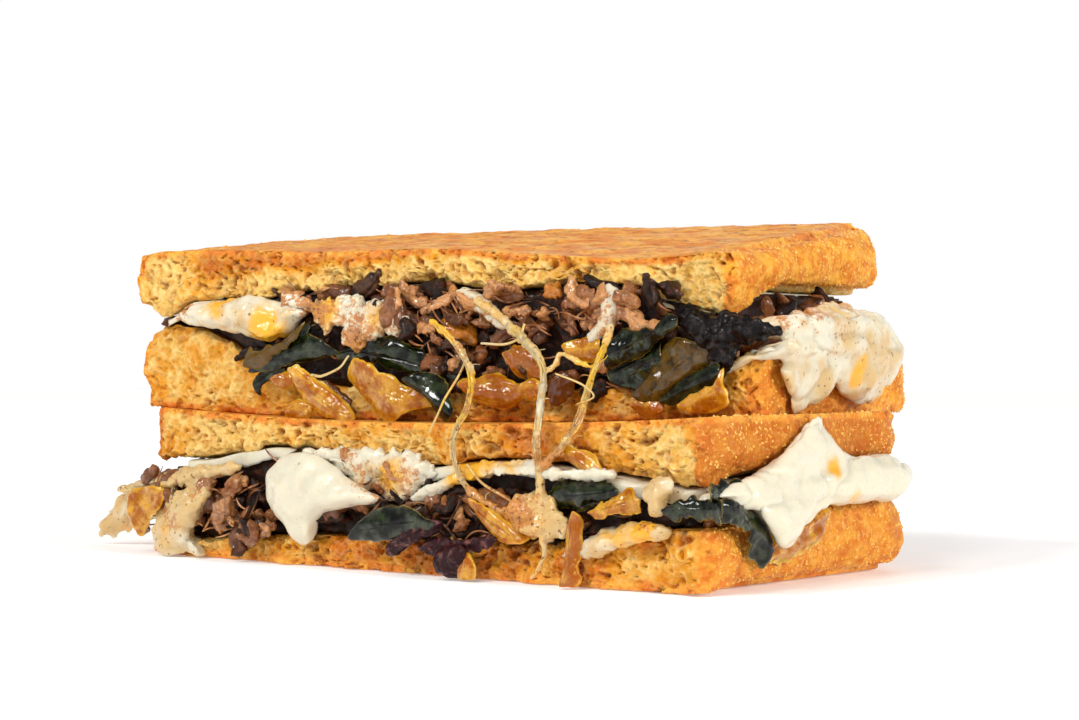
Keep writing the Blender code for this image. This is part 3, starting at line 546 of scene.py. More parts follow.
def make_blob(name, half, chains, look, voxel, soften=6, wobble=0.35, crinkle=0.12, seed=0, lump=3.2,
              thin=1.0, crease=0.0, parts=()):
    """A melted lump: chains are lists of (along, out, height, radius) in millimetres; parts melt into it.

    Voxel and soften say how it melts. Wobble swells it in lumps so many millimetres broad, crease cuts
    folds into it and crinkle roughens it.
    """
    ball, ball_faces = ball_template()
    points, faces, total = [], [], 0
    for chain in chains:
        length = sum(math.dist(a[:3], b[:3]) for a, b in zip(chain, chain[1:]))
        count = max(int(length / (BALL_SPACING * min(link[3] for link in chain))), 2)
        for row in smooth_line(chain, count):
            centre = half.at(row[:3])
            radius = thin * row[3] * (1 + 0.16 * lumps(centre[None] / MM, 5.0, seed + 7)[0])
            points.append(centre + ball * radius * MM)
            faces.append(ball_faces + total)
            total += len(ball)
    made = list(parts)
    if chains:
        made.append(new_object(name, new_mesh(name, np.concatenate(points), np.concatenate(faces), look)))
    obj = join_pieces(name, made, (), look)
    melt = obj.modifiers.new("melt", "REMESH")
    melt.mode = "VOXEL"
    melt.voxel_size = voxel * MM
    smooth = obj.modifiers.new("soften", "SMOOTH")
    smooth.factor = 0.5
    smooth.iterations = soften
    mesh = evaluated_mesh(obj)
    mesh.shade_smooth()
    places, normals = points_of(mesh), normals_of(mesh)
    here = places / MM
    push = wobble * (0.75 * lumps(here, lump, seed) + 0.25 * lumps(here, lump / 2, seed + 1))
    push += crinkle * (lumps(here, 0.8, seed + 2) + 0.5 * lumps(here, 0.45, seed + 3))
    bent = here + 1.5 * np.stack([lumps(here, 5, seed + k) for k in (14, 15, 16)], -1)
    push -= crease * np.clip(crags(bent, 7.5, seed + 4), 0, 1) ** 5
    places = places + normals * (push * MM)[:, None]
    places[:, 2] = np.maximum(places[:, 2], 0)
    move_points(mesh, places)
    return obj


def paint_spots(mesh, half, spots, label, start):
    """Writes an attribute that rises by an amount near each spot (along, out, height, reach, amount)."""
    own = half.local(points_of(mesh))
    total = np.full(len(own), start)
    for spot in spots:
        away = np.linalg.norm(own - np.array(spot[:3]), axis=1) / spot[3]
        total = total + spot[4] * np.exp(-away ** 2)
    add_value(mesh, label, np.clip(total, 0, 1))


def join_pieces(name, pieces, labels, look):
    """One object from several with the same material, kept at the origin, with the named attributes."""
    points, corners, starts, values = [], [], [], {label: [] for label in labels}
    point_total = corner_total = 0
    for piece in pieces:
        mesh = piece.data
        points.append(points_of(mesh))
        found = np.empty(len(mesh.loops), np.int32)
        mesh.loops.foreach_get("vertex_index", found)
        corners.append(found + point_total)
        first = np.empty(len(mesh.polygons), np.int32)
        mesh.polygons.foreach_get("loop_start", first)
        starts.append(first + corner_total)
        for label in labels:
            read = np.zeros(len(mesh.vertices), np.float32)
            if mesh.attributes.get(label):
                mesh.attributes[label].data.foreach_get("value", read)
            values[label].append(read)
        point_total += len(mesh.vertices)
        corner_total += len(mesh.loops)
    joined = bpy.data.meshes.new(name)
    joined.vertices.add(point_total)
    joined.vertices.foreach_set("co", np.concatenate(points).ravel())
    joined.loops.add(corner_total)
    joined.loops.foreach_set("vertex_index", np.concatenate(corners))
    joined.polygons.add(sum(len(start) for start in starts))
    joined.polygons.foreach_set("loop_start", np.concatenate(starts))
    joined.materials.append(look)
    joined.update(calc_edges=True)
    joined.shade_smooth()
    for label in labels:
        add_value(joined, label, np.concatenate(values[label]))
    for piece in pieces:
        bpy.data.objects.remove(piece)
    return new_object(name, joined)


# Materials: numbers as expressions, every other node from one method.

def add_node(tree, kind, settings, values):
    """A new node of a tree, with its settings, and with its inputs linked or set."""
    made = tree.nodes.new(kind)
    for label, setting in settings.items():
        setattr(made, label, setting)
    for label, value in values.items():
        socket = made.inputs[label]
        value = value.socket if isinstance(value, Term) else value
        if isinstance(value, bpy.types.NodeSocket):
            tree.links.new(value, socket)
        elif socket.type == "RGBA" and len(value) == 3:
            socket.default_value = (*value, 1)
        else:
            socket.default_value = value
    return made


class Term:
    """A number on its way through a material, so that plain arithmetic adds its nodes."""

    def __init__(self, finish, socket):
        self.finish = finish
        self.socket = socket

    def __add__(self, other):
        return self.finish.maths("ADD", self, other)

    __radd__ = __add__

    def __sub__(self, other):
        return self.finish.maths("SUBTRACT", self, other)

    def __rsub__(self, other):
        return self.finish.maths("SUBTRACT", other, self)

    def __mul__(self, other):
        return self.finish.maths("MULTIPLY", self, other)

    __rmul__ = __mul__


class Finish:
    """A material under construction."""

    def __init__(self, name, uniform):
        self.material = bpy.data.materials.new(name)
        self.material.use_nodes = True
        self.tree = self.material.node_tree
        self.tree.nodes.clear()
        self.shader = self.node("ShaderNodeBsdfPrincipled", {}, uniform)
        self.node("ShaderNodeOutputMaterial", {}, {"Surface": self.shader.outputs[0]})
        self.place = self.node("ShaderNodeTexCoord", {}, {}).outputs["Object"]

    def node(self, kind, settings, values):
        return add_node(self.tree, kind, settings, values)

    def maths(self, operation, *values):
        made = self.node("ShaderNodeMath", {"operation": operation}, dict(enumerate(values)))
        return Term(self, made.outputs[0])

    def attribute(self, label):
        return Term(self, self.node("ShaderNodeAttribute", {"attribute_name": label}, {}).outputs["Fac"])

    def grain(self, size, detail=3.0, rough=0.5, warp=0.0):
        """Noise from 0 to 1 with features about size millimetres across."""
        values = {"Vector": self.place, "Scale": 1000 / size, "Detail": detail, "Roughness": rough,
                  "Distortion": warp}
        return Term(self, self.node("ShaderNodeTexNoise", {}, values).outputs[0])

    def cells(self, size):
        """Distance to the nearest of scattered points, about size millimetres apart."""
        values = {"Vector": self.place, "Scale": 1000 / size}
        return Term(self, self.node("ShaderNodeTexVoronoi", {}, values).outputs["Distance"])

    def rise(self, term, low, high):
        """0 below low, 1 above high, smooth between."""
        values = {"Value": term, "From Min": low, "From Max": high}
        made = self.node("ShaderNodeMapRange", {"interpolation_type": "SMOOTHSTEP"}, values)
        return Term(self, made.outputs[0])

    def mix(self, share, first, second):
        """The first colour where share is 0, the second where it is 1."""
        return self.node("ShaderNodeMix", {"data_type": "RGBA"}, {0: share, 6: first, 7: second}).outputs[2]

    def bump(self, height, distance, strength):
        values = {"Height": height, "Distance": distance * MM, "Strength": strength}
        return self.node("ShaderNodeBump", {}, values).outputs[0]

    def wire(self, **links):
        """Feeds the shader's sockets, named with underscores for spaces."""
        for label, value in links.items():
            value = value.socket if isinstance(value, Term) else value
            self.tree.links.new(value, self.shader.inputs[label.replace("_", " ")])
        return self.material


def bread_finish(look):
    f = Finish("toasted_crumb", {"Specular IOR Level": 0.14, "Subsurface Weight": 0.3,
                                 "Subsurface Radius": (1.0, 0.4, 0.12), "Subsurface Scale": 0.0009,
                                 "Coat Roughness": 0.2})
    pit, rise, umber = f.attribute("pit"), f.attribute("rise"), f.attribute("umber")
    griddle, rind, butter = f.attribute("griddle"), f.attribute("rind"), f.attribute("butter")
    fine = f.grain(0.7, 4, 0.6)
    cloud = f.grain(6, 5, 0.6)
    wet = butter + (cloud - 0.5) * 1.3
    # Bubbles (pit) are painted more soaked, oilier and darker: painted shade in the pits, with butter.
    soaked = f.rise(wet - rise * 0.15 + pit * 0.3, 0.05, 0.75)
    crumb = f.mix(soaked, look.crumb_pale, look.crumb_soaked)
    crumb = f.mix(f.rise(wet + pit * 0.4 + (fine - 0.5) * 0.3, 0.7, 1.25), crumb, look.crumb_oily)
    crumb = f.mix(f.rise(pit, 0.15, 0.85) * 0.75, crumb, look.pore_shade)
    cell = f.cells(1.25)
    torn = f.rise(cell + (fine - 0.5) * 0.5, 0.4, 0.75)
    crumb = f.mix(torn * (1 - soaked * 0.6) * 0.45, crumb, look.crumb_cream_and_highlight)
    crumb = f.mix(f.rise(0.42 - cell + (fine - 0.5) * 0.4, 0.12, 0.4) * 0.4, crumb, look.crumb_oily)
    # Raised ridges are painted paler: drier crumb, with a painted highlight.
    crumb = f.mix(f.rise(rise + (fine - 0.5) * 0.5 - wet * 0.4, 0.25, 1.0) * 0.6, crumb, look.crumb_cream_and_highlight)
    speck = f.rise(f.grain(1.1, 2), 0.66, 0.74) * 0.5
    crumb = f.mix(speck, crumb, look.toast)
    # The rind is tan with pale flour and darker blisters.
    mottle = f.grain(3.2, 5, 0.65)
    rind_colour = f.mix(f.rise(mottle, 0.36, 0.62), look.rind_dark, look.rind)
    rind_colour = f.mix(umber, rind_colour, look.rind_umber)
    rind_colour = f.mix(f.rise(f.grain(0.9, 3, 0.6), 0.52, 0.68) * 0.55, rind_colour, look.rind_flour)
    rind_colour = f.mix(f.rise(f.grain(8, 4, 0.6), 0.5, 0.68) * 0.5, rind_colour, look.rind_umber)
    # The griddled face is mottled from gold to brown.
    blotch = f.grain(6.5, 6, 0.68)
    griddled = f.mix(f.rise(blotch, 0.35, 0.62), look.toast_gold, look.toast)
    griddled = f.mix(f.rise(f.grain(2.4, 5, 0.7), 0.5, 0.68) * 0.75, griddled, look.toast_dark)
    on_rind = f.rise(rind + (mottle - 0.5) * 0.6, 0.26, 0.5)
    on_griddle = f.rise(griddle + (blotch - 0.5) * 0.7, 0.26, 0.56)
    colour = f.mix(on_rind, crumb, rind_colour)
    colour = f.mix(on_griddle, colour, griddled)
    rough = 0.6 - soaked * 0.22 + (fine - 0.5) * 0.2
    height = f.grain(1.3, 5, 0.7) + f.grain(0.45, 3, 0.6) * 0.6 + cell * 1.1
    return f.wire(Base_Color=colour, Roughness=rough, Coat_Weight=f.rise(wet + (fine - 0.5), 0.8, 1.3) * 0.2,
                  Normal=f.bump(height, 0.5, 0.95))


def cheese_finish(look):
    f = Finish("melted_cheese_skin", {"Specular IOR Level": 0.3, "Subsurface Weight": 0.5,
                                      "Subsurface Radius": (1.0, 0.8, 0.5), "Subsurface Scale": 0.0025,
                                      "Coat Roughness": 0.12})
    brown, yellow, cream = f.attribute("brown"), f.attribute("yellow"), f.attribute("cream")
    cloud = f.grain(4, 4, 0.6)
    fine = f.grain(0.9, 4, 0.6)
    colour = f.mix(f.rise(cream + (cloud - 0.5) * 0.8, 0.15, 0.85), look.cheese, look.cheese_deep)
    colour = f.mix(f.rise(yellow + (cloud - 0.5) * 0.9, 0.3, 0.75), colour, look.cheese_oily)
    lace = f.grain(1.5, 6, 0.75)
    colour = f.mix(f.rise(brown + (lace - 0.5) * 2.2, 0.42, 0.62) * 0.9, colour, look.cheese_brown)
    colour = f.mix(f.rise(brown + (f.grain(0.8, 4, 0.7) - 0.5) * 2.6, 0.85, 1.05) * 0.85, colour, look.speck)
    speck = f.rise(f.grain(1.0, 2, 0.5) + cream * 0.06, 0.7, 0.74)
    colour = f.mix(speck * f.rise(cream, -0.1, 0.5) * 0.8, colour, look.speck)
    height = f.grain(1.8, 4, 0.55) + fine * 0.4
    rough = 0.3 + (fine - 0.5) * 0.25 + brown * 0.15
    return f.wire(Base_Color=colour, Roughness=rough, Coat_Weight=f.rise(cloud, 0.36, 0.6) * 0.7,
                  Normal=f.bump(height, 0.16, 0.5))


def beef_finish(look):
    f = Finish("griddled_beef_skin", {"Specular IOR Level": 0.18, "Subsurface Weight": 0.12,
                                      "Subsurface Radius": (1.0, 0.35, 0.12), "Subsurface Scale": 0.0008,
                                      "Coat Roughness": 0.14})
    hue, fibre = f.attribute("hue"), f.attribute("fibre")
    cloud = f.grain(3.4, 5, 0.7)
    fine = f.grain(0.6, 4, 0.65)
    colour = f.mix(f.rise(hue + (cloud - 0.5) * 0.9, 0.05, 0.6), look.beef_dark, look.beef)
    colour = f.mix(f.rise(hue + (cloud - 0.5) * 1.3 + (fine - 0.5) * 0.9, 0.5, 1.05), colour, look.beef_pale)
    colour = f.mix(f.rise(hue + (cloud - 0.5) * 0.3, 1.2, 1.4), colour, look.beef_amber)
    # Darker along the fibre value: painted shade in the grooves between the shreds' ridges, and dark streaks
    # at random on the core.
    colour = f.mix(f.rise(fibre + (cloud - 0.5) * 1.6, 0.45, 1.1) * 0.4, colour, look.beef_dark)
    colour = f.mix(f.rise(f.grain(1.8, 4, 0.7), 0.52, 0.68) * 0.6, colour, look.beef_crisp)
    height = f.grain(1.1, 5, 0.7) + fine * 0.6
    rough = 0.36 + (fine - 0.5) * 0.5
    return f.wire(Base_Color=colour, Roughness=rough,
                  Coat_Weight=f.rise(cloud, 0.38, 0.54) * (0.2 + f.rise(hue, 0.0, 0.5) * 0.7),
                  Normal=f.bump(height, 0.34, 0.95))


def pepper_finish(look):
    f = Finish("roast_pepper_skin", {"Specular IOR Level": 0.18, "Coat Roughness": 0.06,
                                     "Subsurface Weight": 0.1, "Subsurface Scale": 0.0006})
    rim, olive = f.attribute("rim"), f.attribute("olive")
    cloud = f.grain(2.6, 4, 0.6)
    fine = f.grain(0.5, 4, 0.65)
    colour = f.mix(f.rise(cloud, 0.4, 0.68), look.pepper_dark, look.pepper)
    colour = f.mix(f.rise(olive + (f.grain(1.6, 5, 0.7) - 0.5) * 1.8, 0.4, 1.1), colour, look.pepper_olive)
    colour = f.mix(f.rise(rim + (cloud - 0.5) * 1.2, 0.7, 1.15) * 0.75, colour, look.pepper_edge)
    height = f.grain(3.0, 3, 0.5) + fine * 0.12
    rough = 0.13 + f.rise(fine, 0.5, 0.85) * 0.3
    return f.wire(Base_Color=colour, Roughness=rough, Coat_Weight=0.2 + f.rise(cloud, 0.4, 0.65) * 0.7,
                  Normal=f.bump(height, 0.2, 0.5))


def onion_finish(look):
    f = Finish("soft_onion_skin", {"Specular IOR Level": 0.2, "Subsurface Weight": 0.45,
                                   "Subsurface Radius": (1.0, 0.5, 0.1), "Subsurface Scale": 0.0016,
                                   "Coat Roughness": 0.1})
    rim, across, caught = f.attribute("rim"), f.attribute("across"), f.attribute("caught")
    cloud = f.grain(3.4, 5, 0.65)
    fine = f.grain(0.6, 3, 0.6)
    vein = f.maths("SINE", across * 7 + cloud * 12)
    pale = cloud + vein * 0.03 + rim * 0.2 - caught * 0.25
    colour = f.mix(f.rise(pale, 0.38, 0.66), look.onion_amber, look.onion_pale)
    colour = f.mix(f.rise(pale + (fine - 0.5) * 0.3, 0.66, 0.84), colour, look.onion_light)
    colour = f.mix(f.rise(f.grain(1.4, 5, 0.7, warp=1.5), 0.56, 0.72) * 0.55, colour, look.onion_light)
    colour = f.mix(f.rise(caught + (cloud - 0.5) * 1.3, 0.5, 1.0) * 0.85, colour, look.onion_brown)
    height = vein * 0.05 + f.grain(2.2, 4, 0.55) + fine * 0.15
    rough = 0.14 + f.rise(fine, 0.4, 0.8) * 0.25
    return f.wire(Base_Color=colour, Roughness=rough, Coat_Weight=f.rise(cloud, 0.36, 0.56) * 0.9,
                  Normal=f.bump(height, 0.25, 0.7))


def dark_onion_finish(name, dark, light, share):
    f = Finish(name, {"Specular IOR Level": 0.14, "Subsurface Weight": 0.1, "Subsurface Scale": 0.001,
                      "Coat Roughness": 0.08})
    cloud = f.grain(1.8, 5, 0.65)
    fine = f.grain(0.5, 3, 0.6)
    colour = f.mix(f.rise(cloud, 0.5, 0.75) * share, dark, light)
    height = f.cells(1.3) * 0.8 + f.grain(1.2, 4, 0.6)
    rough = 0.28 + f.rise(fine, 0.4, 0.8) * 0.35
    return f.wire(Base_Color=colour, Roughness=rough, Coat_Weight=f.rise(cloud, 0.45, 0.65) * 0.5,
                  Normal=f.bump(height, 0.35, 0.9))


def grain_finish(look):
    f = Finish("crust_flour", {"Specular IOR Level": 0.3, "Roughness": 0.7, "Subsurface Weight": 0.2,
                               "Subsurface Scale": 0.0006})
    colour = f.mix(f.rise(f.grain(2.5, 3), 0.4, 0.65), look.rind_flour, look.rind)
    return f.wire(Base_Color=colour)


def backdrop_finish(look):
    f = Finish("pale_backdrop", {"Roughness": 0.8, "Specular IOR Level": 0.1, "Emission Strength": 0.22,
                                 "Emission Color": (1.0, 1.0, 1.0)})
    cloud = f.grain(400, 2)
    colour = f.mix(cloud * 0.04, look.floor_colour, (0.8, 0.8, 0.8))
    return f.wire(Base_Color=colour)


# Geometry Nodes trees: strands along paths, shreds on points, and grains over a surface.

class Wiring:
    """A Geometry Nodes tree under construction, with named inputs."""

    def __init__(self, name, inputs):
        self.tree = bpy.data.node_groups.new(name, "GeometryNodeTree")
        self.tree.interface.new_socket("Geometry", in_out="INPUT", socket_type="NodeSocketGeometry")
        for label, (kind, default) in inputs.items():
            made = self.tree.interface.new_socket(label, in_out="INPUT", socket_type=kind)
            if default is not None:
                made.default_value = default
        self.tree.interface.new_socket("Geometry", in_out="OUTPUT", socket_type="NodeSocketGeometry")
        self.given = self.tree.nodes.new("NodeGroupInput")

    def node(self, kind, settings, values):
        return add_node(self.tree, kind, settings, values)

    def field(self, label, kind):
        """An attribute of the geometry, read by its name."""
        return self.node("GeometryNodeInputNamedAttribute", {"data_type": kind}, {"Name": label}).outputs[0]

    def close(self, geometry):
        """Ends the tree in Realize Instances and Set Material."""
        real = self.node("GeometryNodeRealizeInstances", {}, {"Geometry": geometry})
        painted = self.node("GeometryNodeSetMaterial", {}, {
            "Geometry": real.outputs[0], "Material": self.given.outputs["Material"]})
        self.node("NodeGroupOutput", {}, {"Geometry": painted.outputs[0]})
        return self.tree


def strand_tree():
    """Sweeps a round section along loose edges, as thick as their radius attribute says."""
    w = Wiring("Cheese strands", {"Sides": ("NodeSocketInt", 8), "Material": ("NodeSocketMaterial", None)})
    radius = w.field("radius", "FLOAT")
    curve = w.node("GeometryNodeMeshToCurve", {}, {"Mesh": w.given.outputs["Geometry"]})
    ring = w.node("GeometryNodeCurvePrimitiveCircle", {"mode": "RADIUS"}, {
        "Resolution": w.given.outputs["Sides"], "Radius": 1.0})
    wide = w.node("GeometryNodeSetCurveRadius", {}, {"Curve": curve.outputs[0], "Radius": radius})
    sweep = w.node("GeometryNodeCurveToMesh", {}, {
        "Curve": wide.outputs[0], "Profile Curve": ring.outputs[0], "Fill Caps": True})
    if "Scale" in sweep.inputs:
        w.tree.links.new(radius, sweep.inputs["Scale"])
    return w.close(sweep.outputs[0])


def shred_tree():
    """Sets a picked shred on each point, turned and sized by the point's own attributes."""
    w = Wiring("Beef shreds", {"Shreds": ("NodeSocketCollection", None),
                               "Size": ("NodeSocketFloat", 1.0), "Material": ("NodeSocketMaterial", None)})
    made = w.node("GeometryNodeCollectionInfo", {"transform_space": "ORIGINAL"}, {
        "Collection": w.given.outputs["Shreds"], "Separate Children": True, "Reset Children": True})
    size = w.node("ShaderNodeVectorMath", {"operation": "SCALE"}, {
        0: w.field("size", "FLOAT_VECTOR"), "Scale": w.given.outputs["Size"]})
    turn = w.node("FunctionNodeEulerToRotation", {}, {"Euler": w.field("turn", "FLOAT_VECTOR")})
    placed = w.node("GeometryNodeInstanceOnPoints", {}, {
        "Points": w.given.outputs["Geometry"], "Instance": made.outputs[0], "Pick Instance": True,
        "Instance Index": w.field("kind", "INT"), "Rotation": turn.outputs[0],
        "Scale": size.outputs[0]})
    return w.close(placed.outputs[0])


def grain_tree():
    """Scatters grains over a surface where its grain attribute is high."""
    w = Wiring("Crust grains", {
        "Per square metre": ("NodeSocketFloat", 400000.0), "Smallest": ("NodeSocketFloat", 0.0002),
        "Largest": ("NodeSocketFloat", 0.0005), "Seed": ("NodeSocketInt", 1),
        "Grain": ("NodeSocketObject", None), "Material": ("NodeSocketMaterial", None)})
    density = w.node("ShaderNodeMath", {"operation": "MULTIPLY"}, {
        0: w.field("grain", "FLOAT"), 1: w.given.outputs["Per square metre"]})
    spread = w.node("GeometryNodeDistributePointsOnFaces", {"distribute_method": "RANDOM"}, {
        "Mesh": w.given.outputs["Geometry"], "Density": density.outputs[0], "Seed": w.given.outputs["Seed"]})
    size = w.node("FunctionNodeRandomValue", {"data_type": "FLOAT"}, {
        "Seed": w.given.outputs["Seed"], 2: w.given.outputs["Smallest"], 3: w.given.outputs["Largest"]})
    turn = w.node("FunctionNodeRandomValue", {"data_type": "FLOAT_VECTOR"}, {
        "Seed": w.given.outputs["Seed"], 1: (6.3, 6.3, 6.3)})
    turned = w.node("FunctionNodeEulerToRotation", {}, {"Euler": turn.outputs[0]})
    grain = w.node("GeometryNodeObjectInfo", {}, {"Object": w.given.outputs["Grain"]})
    placed = w.node("GeometryNodeInstanceOnPoints", {}, {
        "Points": spread.outputs[0], "Instance": grain.outputs["Geometry"], "Rotation": turned.outputs[0],
        "Scale": size.outputs[1]})
    return w.close(placed.outputs[0])


def run_tree(obj, tree, values):
    """Applies a tree with its inputs set by their identifiers, and leaves a plain mesh."""
    grow = obj.modifiers.new("grow", "NODES")
    grow.node_group = tree
    for item in tree.interface.items_tree:
        if item.item_type == "SOCKET" and item.in_out == "INPUT" and item.name in values:
            grow[item.identifier] = values[item.name]
    evaluated_mesh(obj).shade_smooth()
    return obj


def swept_strands(name, half, rows, sides, look, tree):
    """Strands from rows of (along, out, height, radius) in millimetres."""
    points, edges, radii = [], [], []
    for row in rows:
        first = len(points)
        points += list(half.at(row[:, :3]))
        radii += list(row[:, 3] * MM)
        edges += [(n, n + 1) for n in range(first, len(points) - 1)]
    mesh = bpy.data.meshes.new(name)
    mesh.from_pydata([tuple(point) for point in points], edges, [])
    add_value(mesh, "radius", radii)
    return run_tree(new_object(name, mesh), tree, {"Sides": sides, "Material": look})


# Beef.

def shred_meshes(look, group):
    """Torn flakes of beef about 9 mm long, with the grain of the meat along them."""
    dice = random.Random(77)
    for number in range(FINE_SHREDS + PLAIN_SHREDS):
        long, wide = dice.uniform(2.8, 6.4), dice.uniform(1.3, 2.8)
        outline = []
        for step in range(11):
            angle = step / 11 * 2 * math.pi + dice.uniform(-0.2, 0.2)
            reach = dice.uniform(0.7, 1.15)
            outline.append((long * reach * math.cos(angle), wide * reach * math.sin(angle)))
        rings, around = (6, 30) if number < FINE_SHREDS else (4, 16)
        # The sheet is made far above the table, then laid flat at the origin.
        outline = [(a, z + SHRED_LIFT) for a, z in outline]
        made = make_sheet("shred_%02d" % number, LOWER, outline, 0, look, thick=dice.uniform(1.8, 3.2),
                          flat=2.1, curl=dice.uniform(0.2, 1.2), ripple=1.8, crinkle=0.34, ridge=0.045,
                          spacing=dice.uniform(0.8, 1.4), way=dice.uniform(-0.3, 0.3), frill=0.85,
                          seed=number * 7, rings=rings, around=around)
        places = points_of(made.data) - np.array([0, FRONT * MM, SHRED_LIFT * MM])
        move_points(made.data, np.stack([places[:, 0], places[:, 2], -places[:, 1]], -1))
        across = np.empty(len(places), np.float32)
        made.data.attributes["across"].data.foreach_get("value", across)
        # High in the grooves between the ridges: painted shade there.
        add_value(made.data, "fibre", 0.5 - 0.5 * np.cos(across * 6 * math.pi))
        bpy.context.scene.collection.objects.unlink(made)
        group.objects.link(made)


def heap_core(half, lower, upper, room_above, bulge, seed, look):
    """The mass of beef that the shreds lie on, coloured dark as painted shade in the gaps between them."""
    left, right = lower.left + CORE_INSET, min(lower.right, upper.right) - CORE_INSET
    front_edge, back_edge = FRONT + 2.2, BACK - CORE_INSET
    lattice, faces = box_lattice(CORE_COUNTS)
    u, v, w = (lattice[:, n] / CORE_COUNTS[n] * 2 - 1 for n in range(3))
    along = left + (right - left) * (u + 1) / 2
    deep = front_edge + (back_edge - front_edge) * (v + 1) / 2
    from_cut = deep - FRONT
    along, deep = round_corner(along, deep, left, right, front_edge, back_edge)
    low, high = lower.top(along, deep) + 0.3, upper.bottom(along, deep) - room_above
    height = low + (high - low) * (w + 1) / 2
    front = np.exp(-from_cut / 4)
    deep = deep - front * profile(bulge, along) * (1 - 0.4 * w * w)
    mesh = new_mesh("core", half.world(np.stack([along, deep, height], -1)), faces, look)
    places, normals = points_of(mesh), normals_of(mesh)
    here = places / MM
    push = 1.1 * crags(here, 4.5, seed) + 0.6 * crags(here, 2.0, seed + 1)
    push = push + 0.3 * lumps(here, 0.9, seed + 2) - 1.3
    side = np.abs(w) < 0.99
    move_points(mesh, places + normals * (np.where(side, push, np.minimum(push, 0)) * MM)[:, None])
    # A low hue paints the core dark: painted shade in the gaps between the shreds.
    add_value(mesh, "hue", -0.05 + 0.25 * lumps(here, 4, seed + 4))
    add_value(mesh, "fibre", np.clip(0.5 + 0.6 * lumps(here, 1.1, seed + 5), 0, 1))
    return new_object("core", mesh), (left, right)


def shred_points(half, lower, upper, span, zones, seed):
    """Points for the shreds: zones on the cut face, and a belt round the ends and the back."""
    dice = random.Random(seed)
    rows = []

    def add(own, x_way, z_way, size, hue, kind):
        x_way = Vector(x_way).normalized()
        y_way = Vector(z_way).cross(x_way).normalized()
        z_way = x_way.cross(y_way)
        turn = Matrix((x_way, y_way, z_way)).transposed().to_euler()
        rows.append((half.world(own), tuple(turn), size, hue, kind))

    for (low_a, high_a), (low_z, high_z), out, count, slant, tint in zones:
        for number in range(count * 2):
            a = low_a + (high_a - low_a) * (number + dice.uniform(0.1, 0.9)) / (count * 2)
            z = dice.uniform(low_z, high_z)
            back = dice.uniform(-0.6, 3.6)
            angle = math.radians(slant + dice.gauss(0, 34))
            lean = dice.gauss(0, 0.35)
            way = half.direction(math.cos(angle), lean, math.sin(angle))
            facing = half.direction(dice.gauss(0, 0.55), 1, dice.gauss(0, 0.7))
            size = 0.5 + 0.7 * dice.random() ** 1.4
            # Shreds set further behind the cut face get a lower hue: painted shade deeper in the heap.
            hue = tint + dice.gauss(0, 0.38) - 0.14 * back + (0.55 if dice.random() < 0.1 else 0)
            add((a, FRONT - out + back, z), way, facing, (size * dice.uniform(0.6, 1.1), size, size), hue,
                dice.randrange(FINE_SHREDS))
    left, right = span
    belt = [("right", HALF_DEPTH - 16), ("back", right - left - 16), ("left", HALF_DEPTH - 16)]
    for side, length in belt:
        for number in range(int(length * 0.75)):
            share = (number + dice.random()) / int(length * 0.75)
            if side == "back":
                own = np.array([left + 8 + (right - left - 16) * share, BACK - 6 + dice.uniform(-1, 1.2), 0])
                facing = half.direction(0, -1, 0)
                ahead = half.direction(1, 0, 0)
            else:
                sign = 1 if side == "right" else -1
                edge = right if sign > 0 else left
                own = np.array([edge + sign * dice.uniform(-1, 1.2),
                                FRONT + 6 + (HALF_DEPTH - 18) * share, 0])
                facing = half.direction(sign, 0, 0)
                ahead = half.direction(0, -1, 0)
            low = float(lower.top(own[:1], own[1:2])[0]) + 1.5
            high = float(upper.bottom(own[:1], own[1:2])[0]) - 2
            own[2] = dice.uniform(low, max(high, low + 0.5))
            angle = dice.gauss(0, 0.5)
            way = ahead * math.cos(angle) + np.array([0, 0, 1]) * math.sin(angle)
            size = dice.uniform(0.8, 1.3)
            add(own, way, facing, (size, size, size), dice.uniform(0.1, 0.9),
                FINE_SHREDS + dice.randrange(PLAIN_SHREDS))
    return rows


def loose_fibres(half, zones, seed, look, tree):
    """Thin fibres that stand off the torn beef on the cut face."""
    dice = random.Random(seed)
    rows = []
    share = np.linspace(-0.5, 0.5, 14)
    for (low_a, high_a), (low_z, high_z), out, count, slant, _ in zones:
        for _ in range(int(count * 1.5)):
            a, z = dice.uniform(low_a, high_a), dice.uniform(low_z, high_z)
            angle = math.radians(slant + dice.gauss(0, 20))
            length = dice.uniform(3, 8)
            bow, lift, tilt = dice.uniform(-1.2, 1.2), dice.uniform(0.1, 0.4), dice.uniform(-0.6, 0.6)
            thick = dice.uniform(0.14, 0.3)
            rows.append(np.stack([
                a + share * length * math.cos(angle) - bow * (4 * share ** 2) * math.sin(angle),
                out - 0.7 + lift * np.cos(share * math.pi) + tilt * share,
                z + share * length * math.sin(angle) + bow * (4 * share ** 2) * math.cos(angle),
                thick * (0.35 + 0.65 * np.cos(share * math.pi * 0.9))], -1))
    obj = swept_strands("fibres", half, rows, 6, look, tree)
    add_value(obj.data, "hue", 0.5 + 0.5 * lumps(points_of(obj.data) / MM, 5, seed))
    return obj


# What each shred's point carries after its place.
SHRED_VALUES = [("turn", "FLOAT_VECTOR"), ("size", "FLOAT_VECTOR"), ("hue", "FLOAT"), ("kind", "INT")]

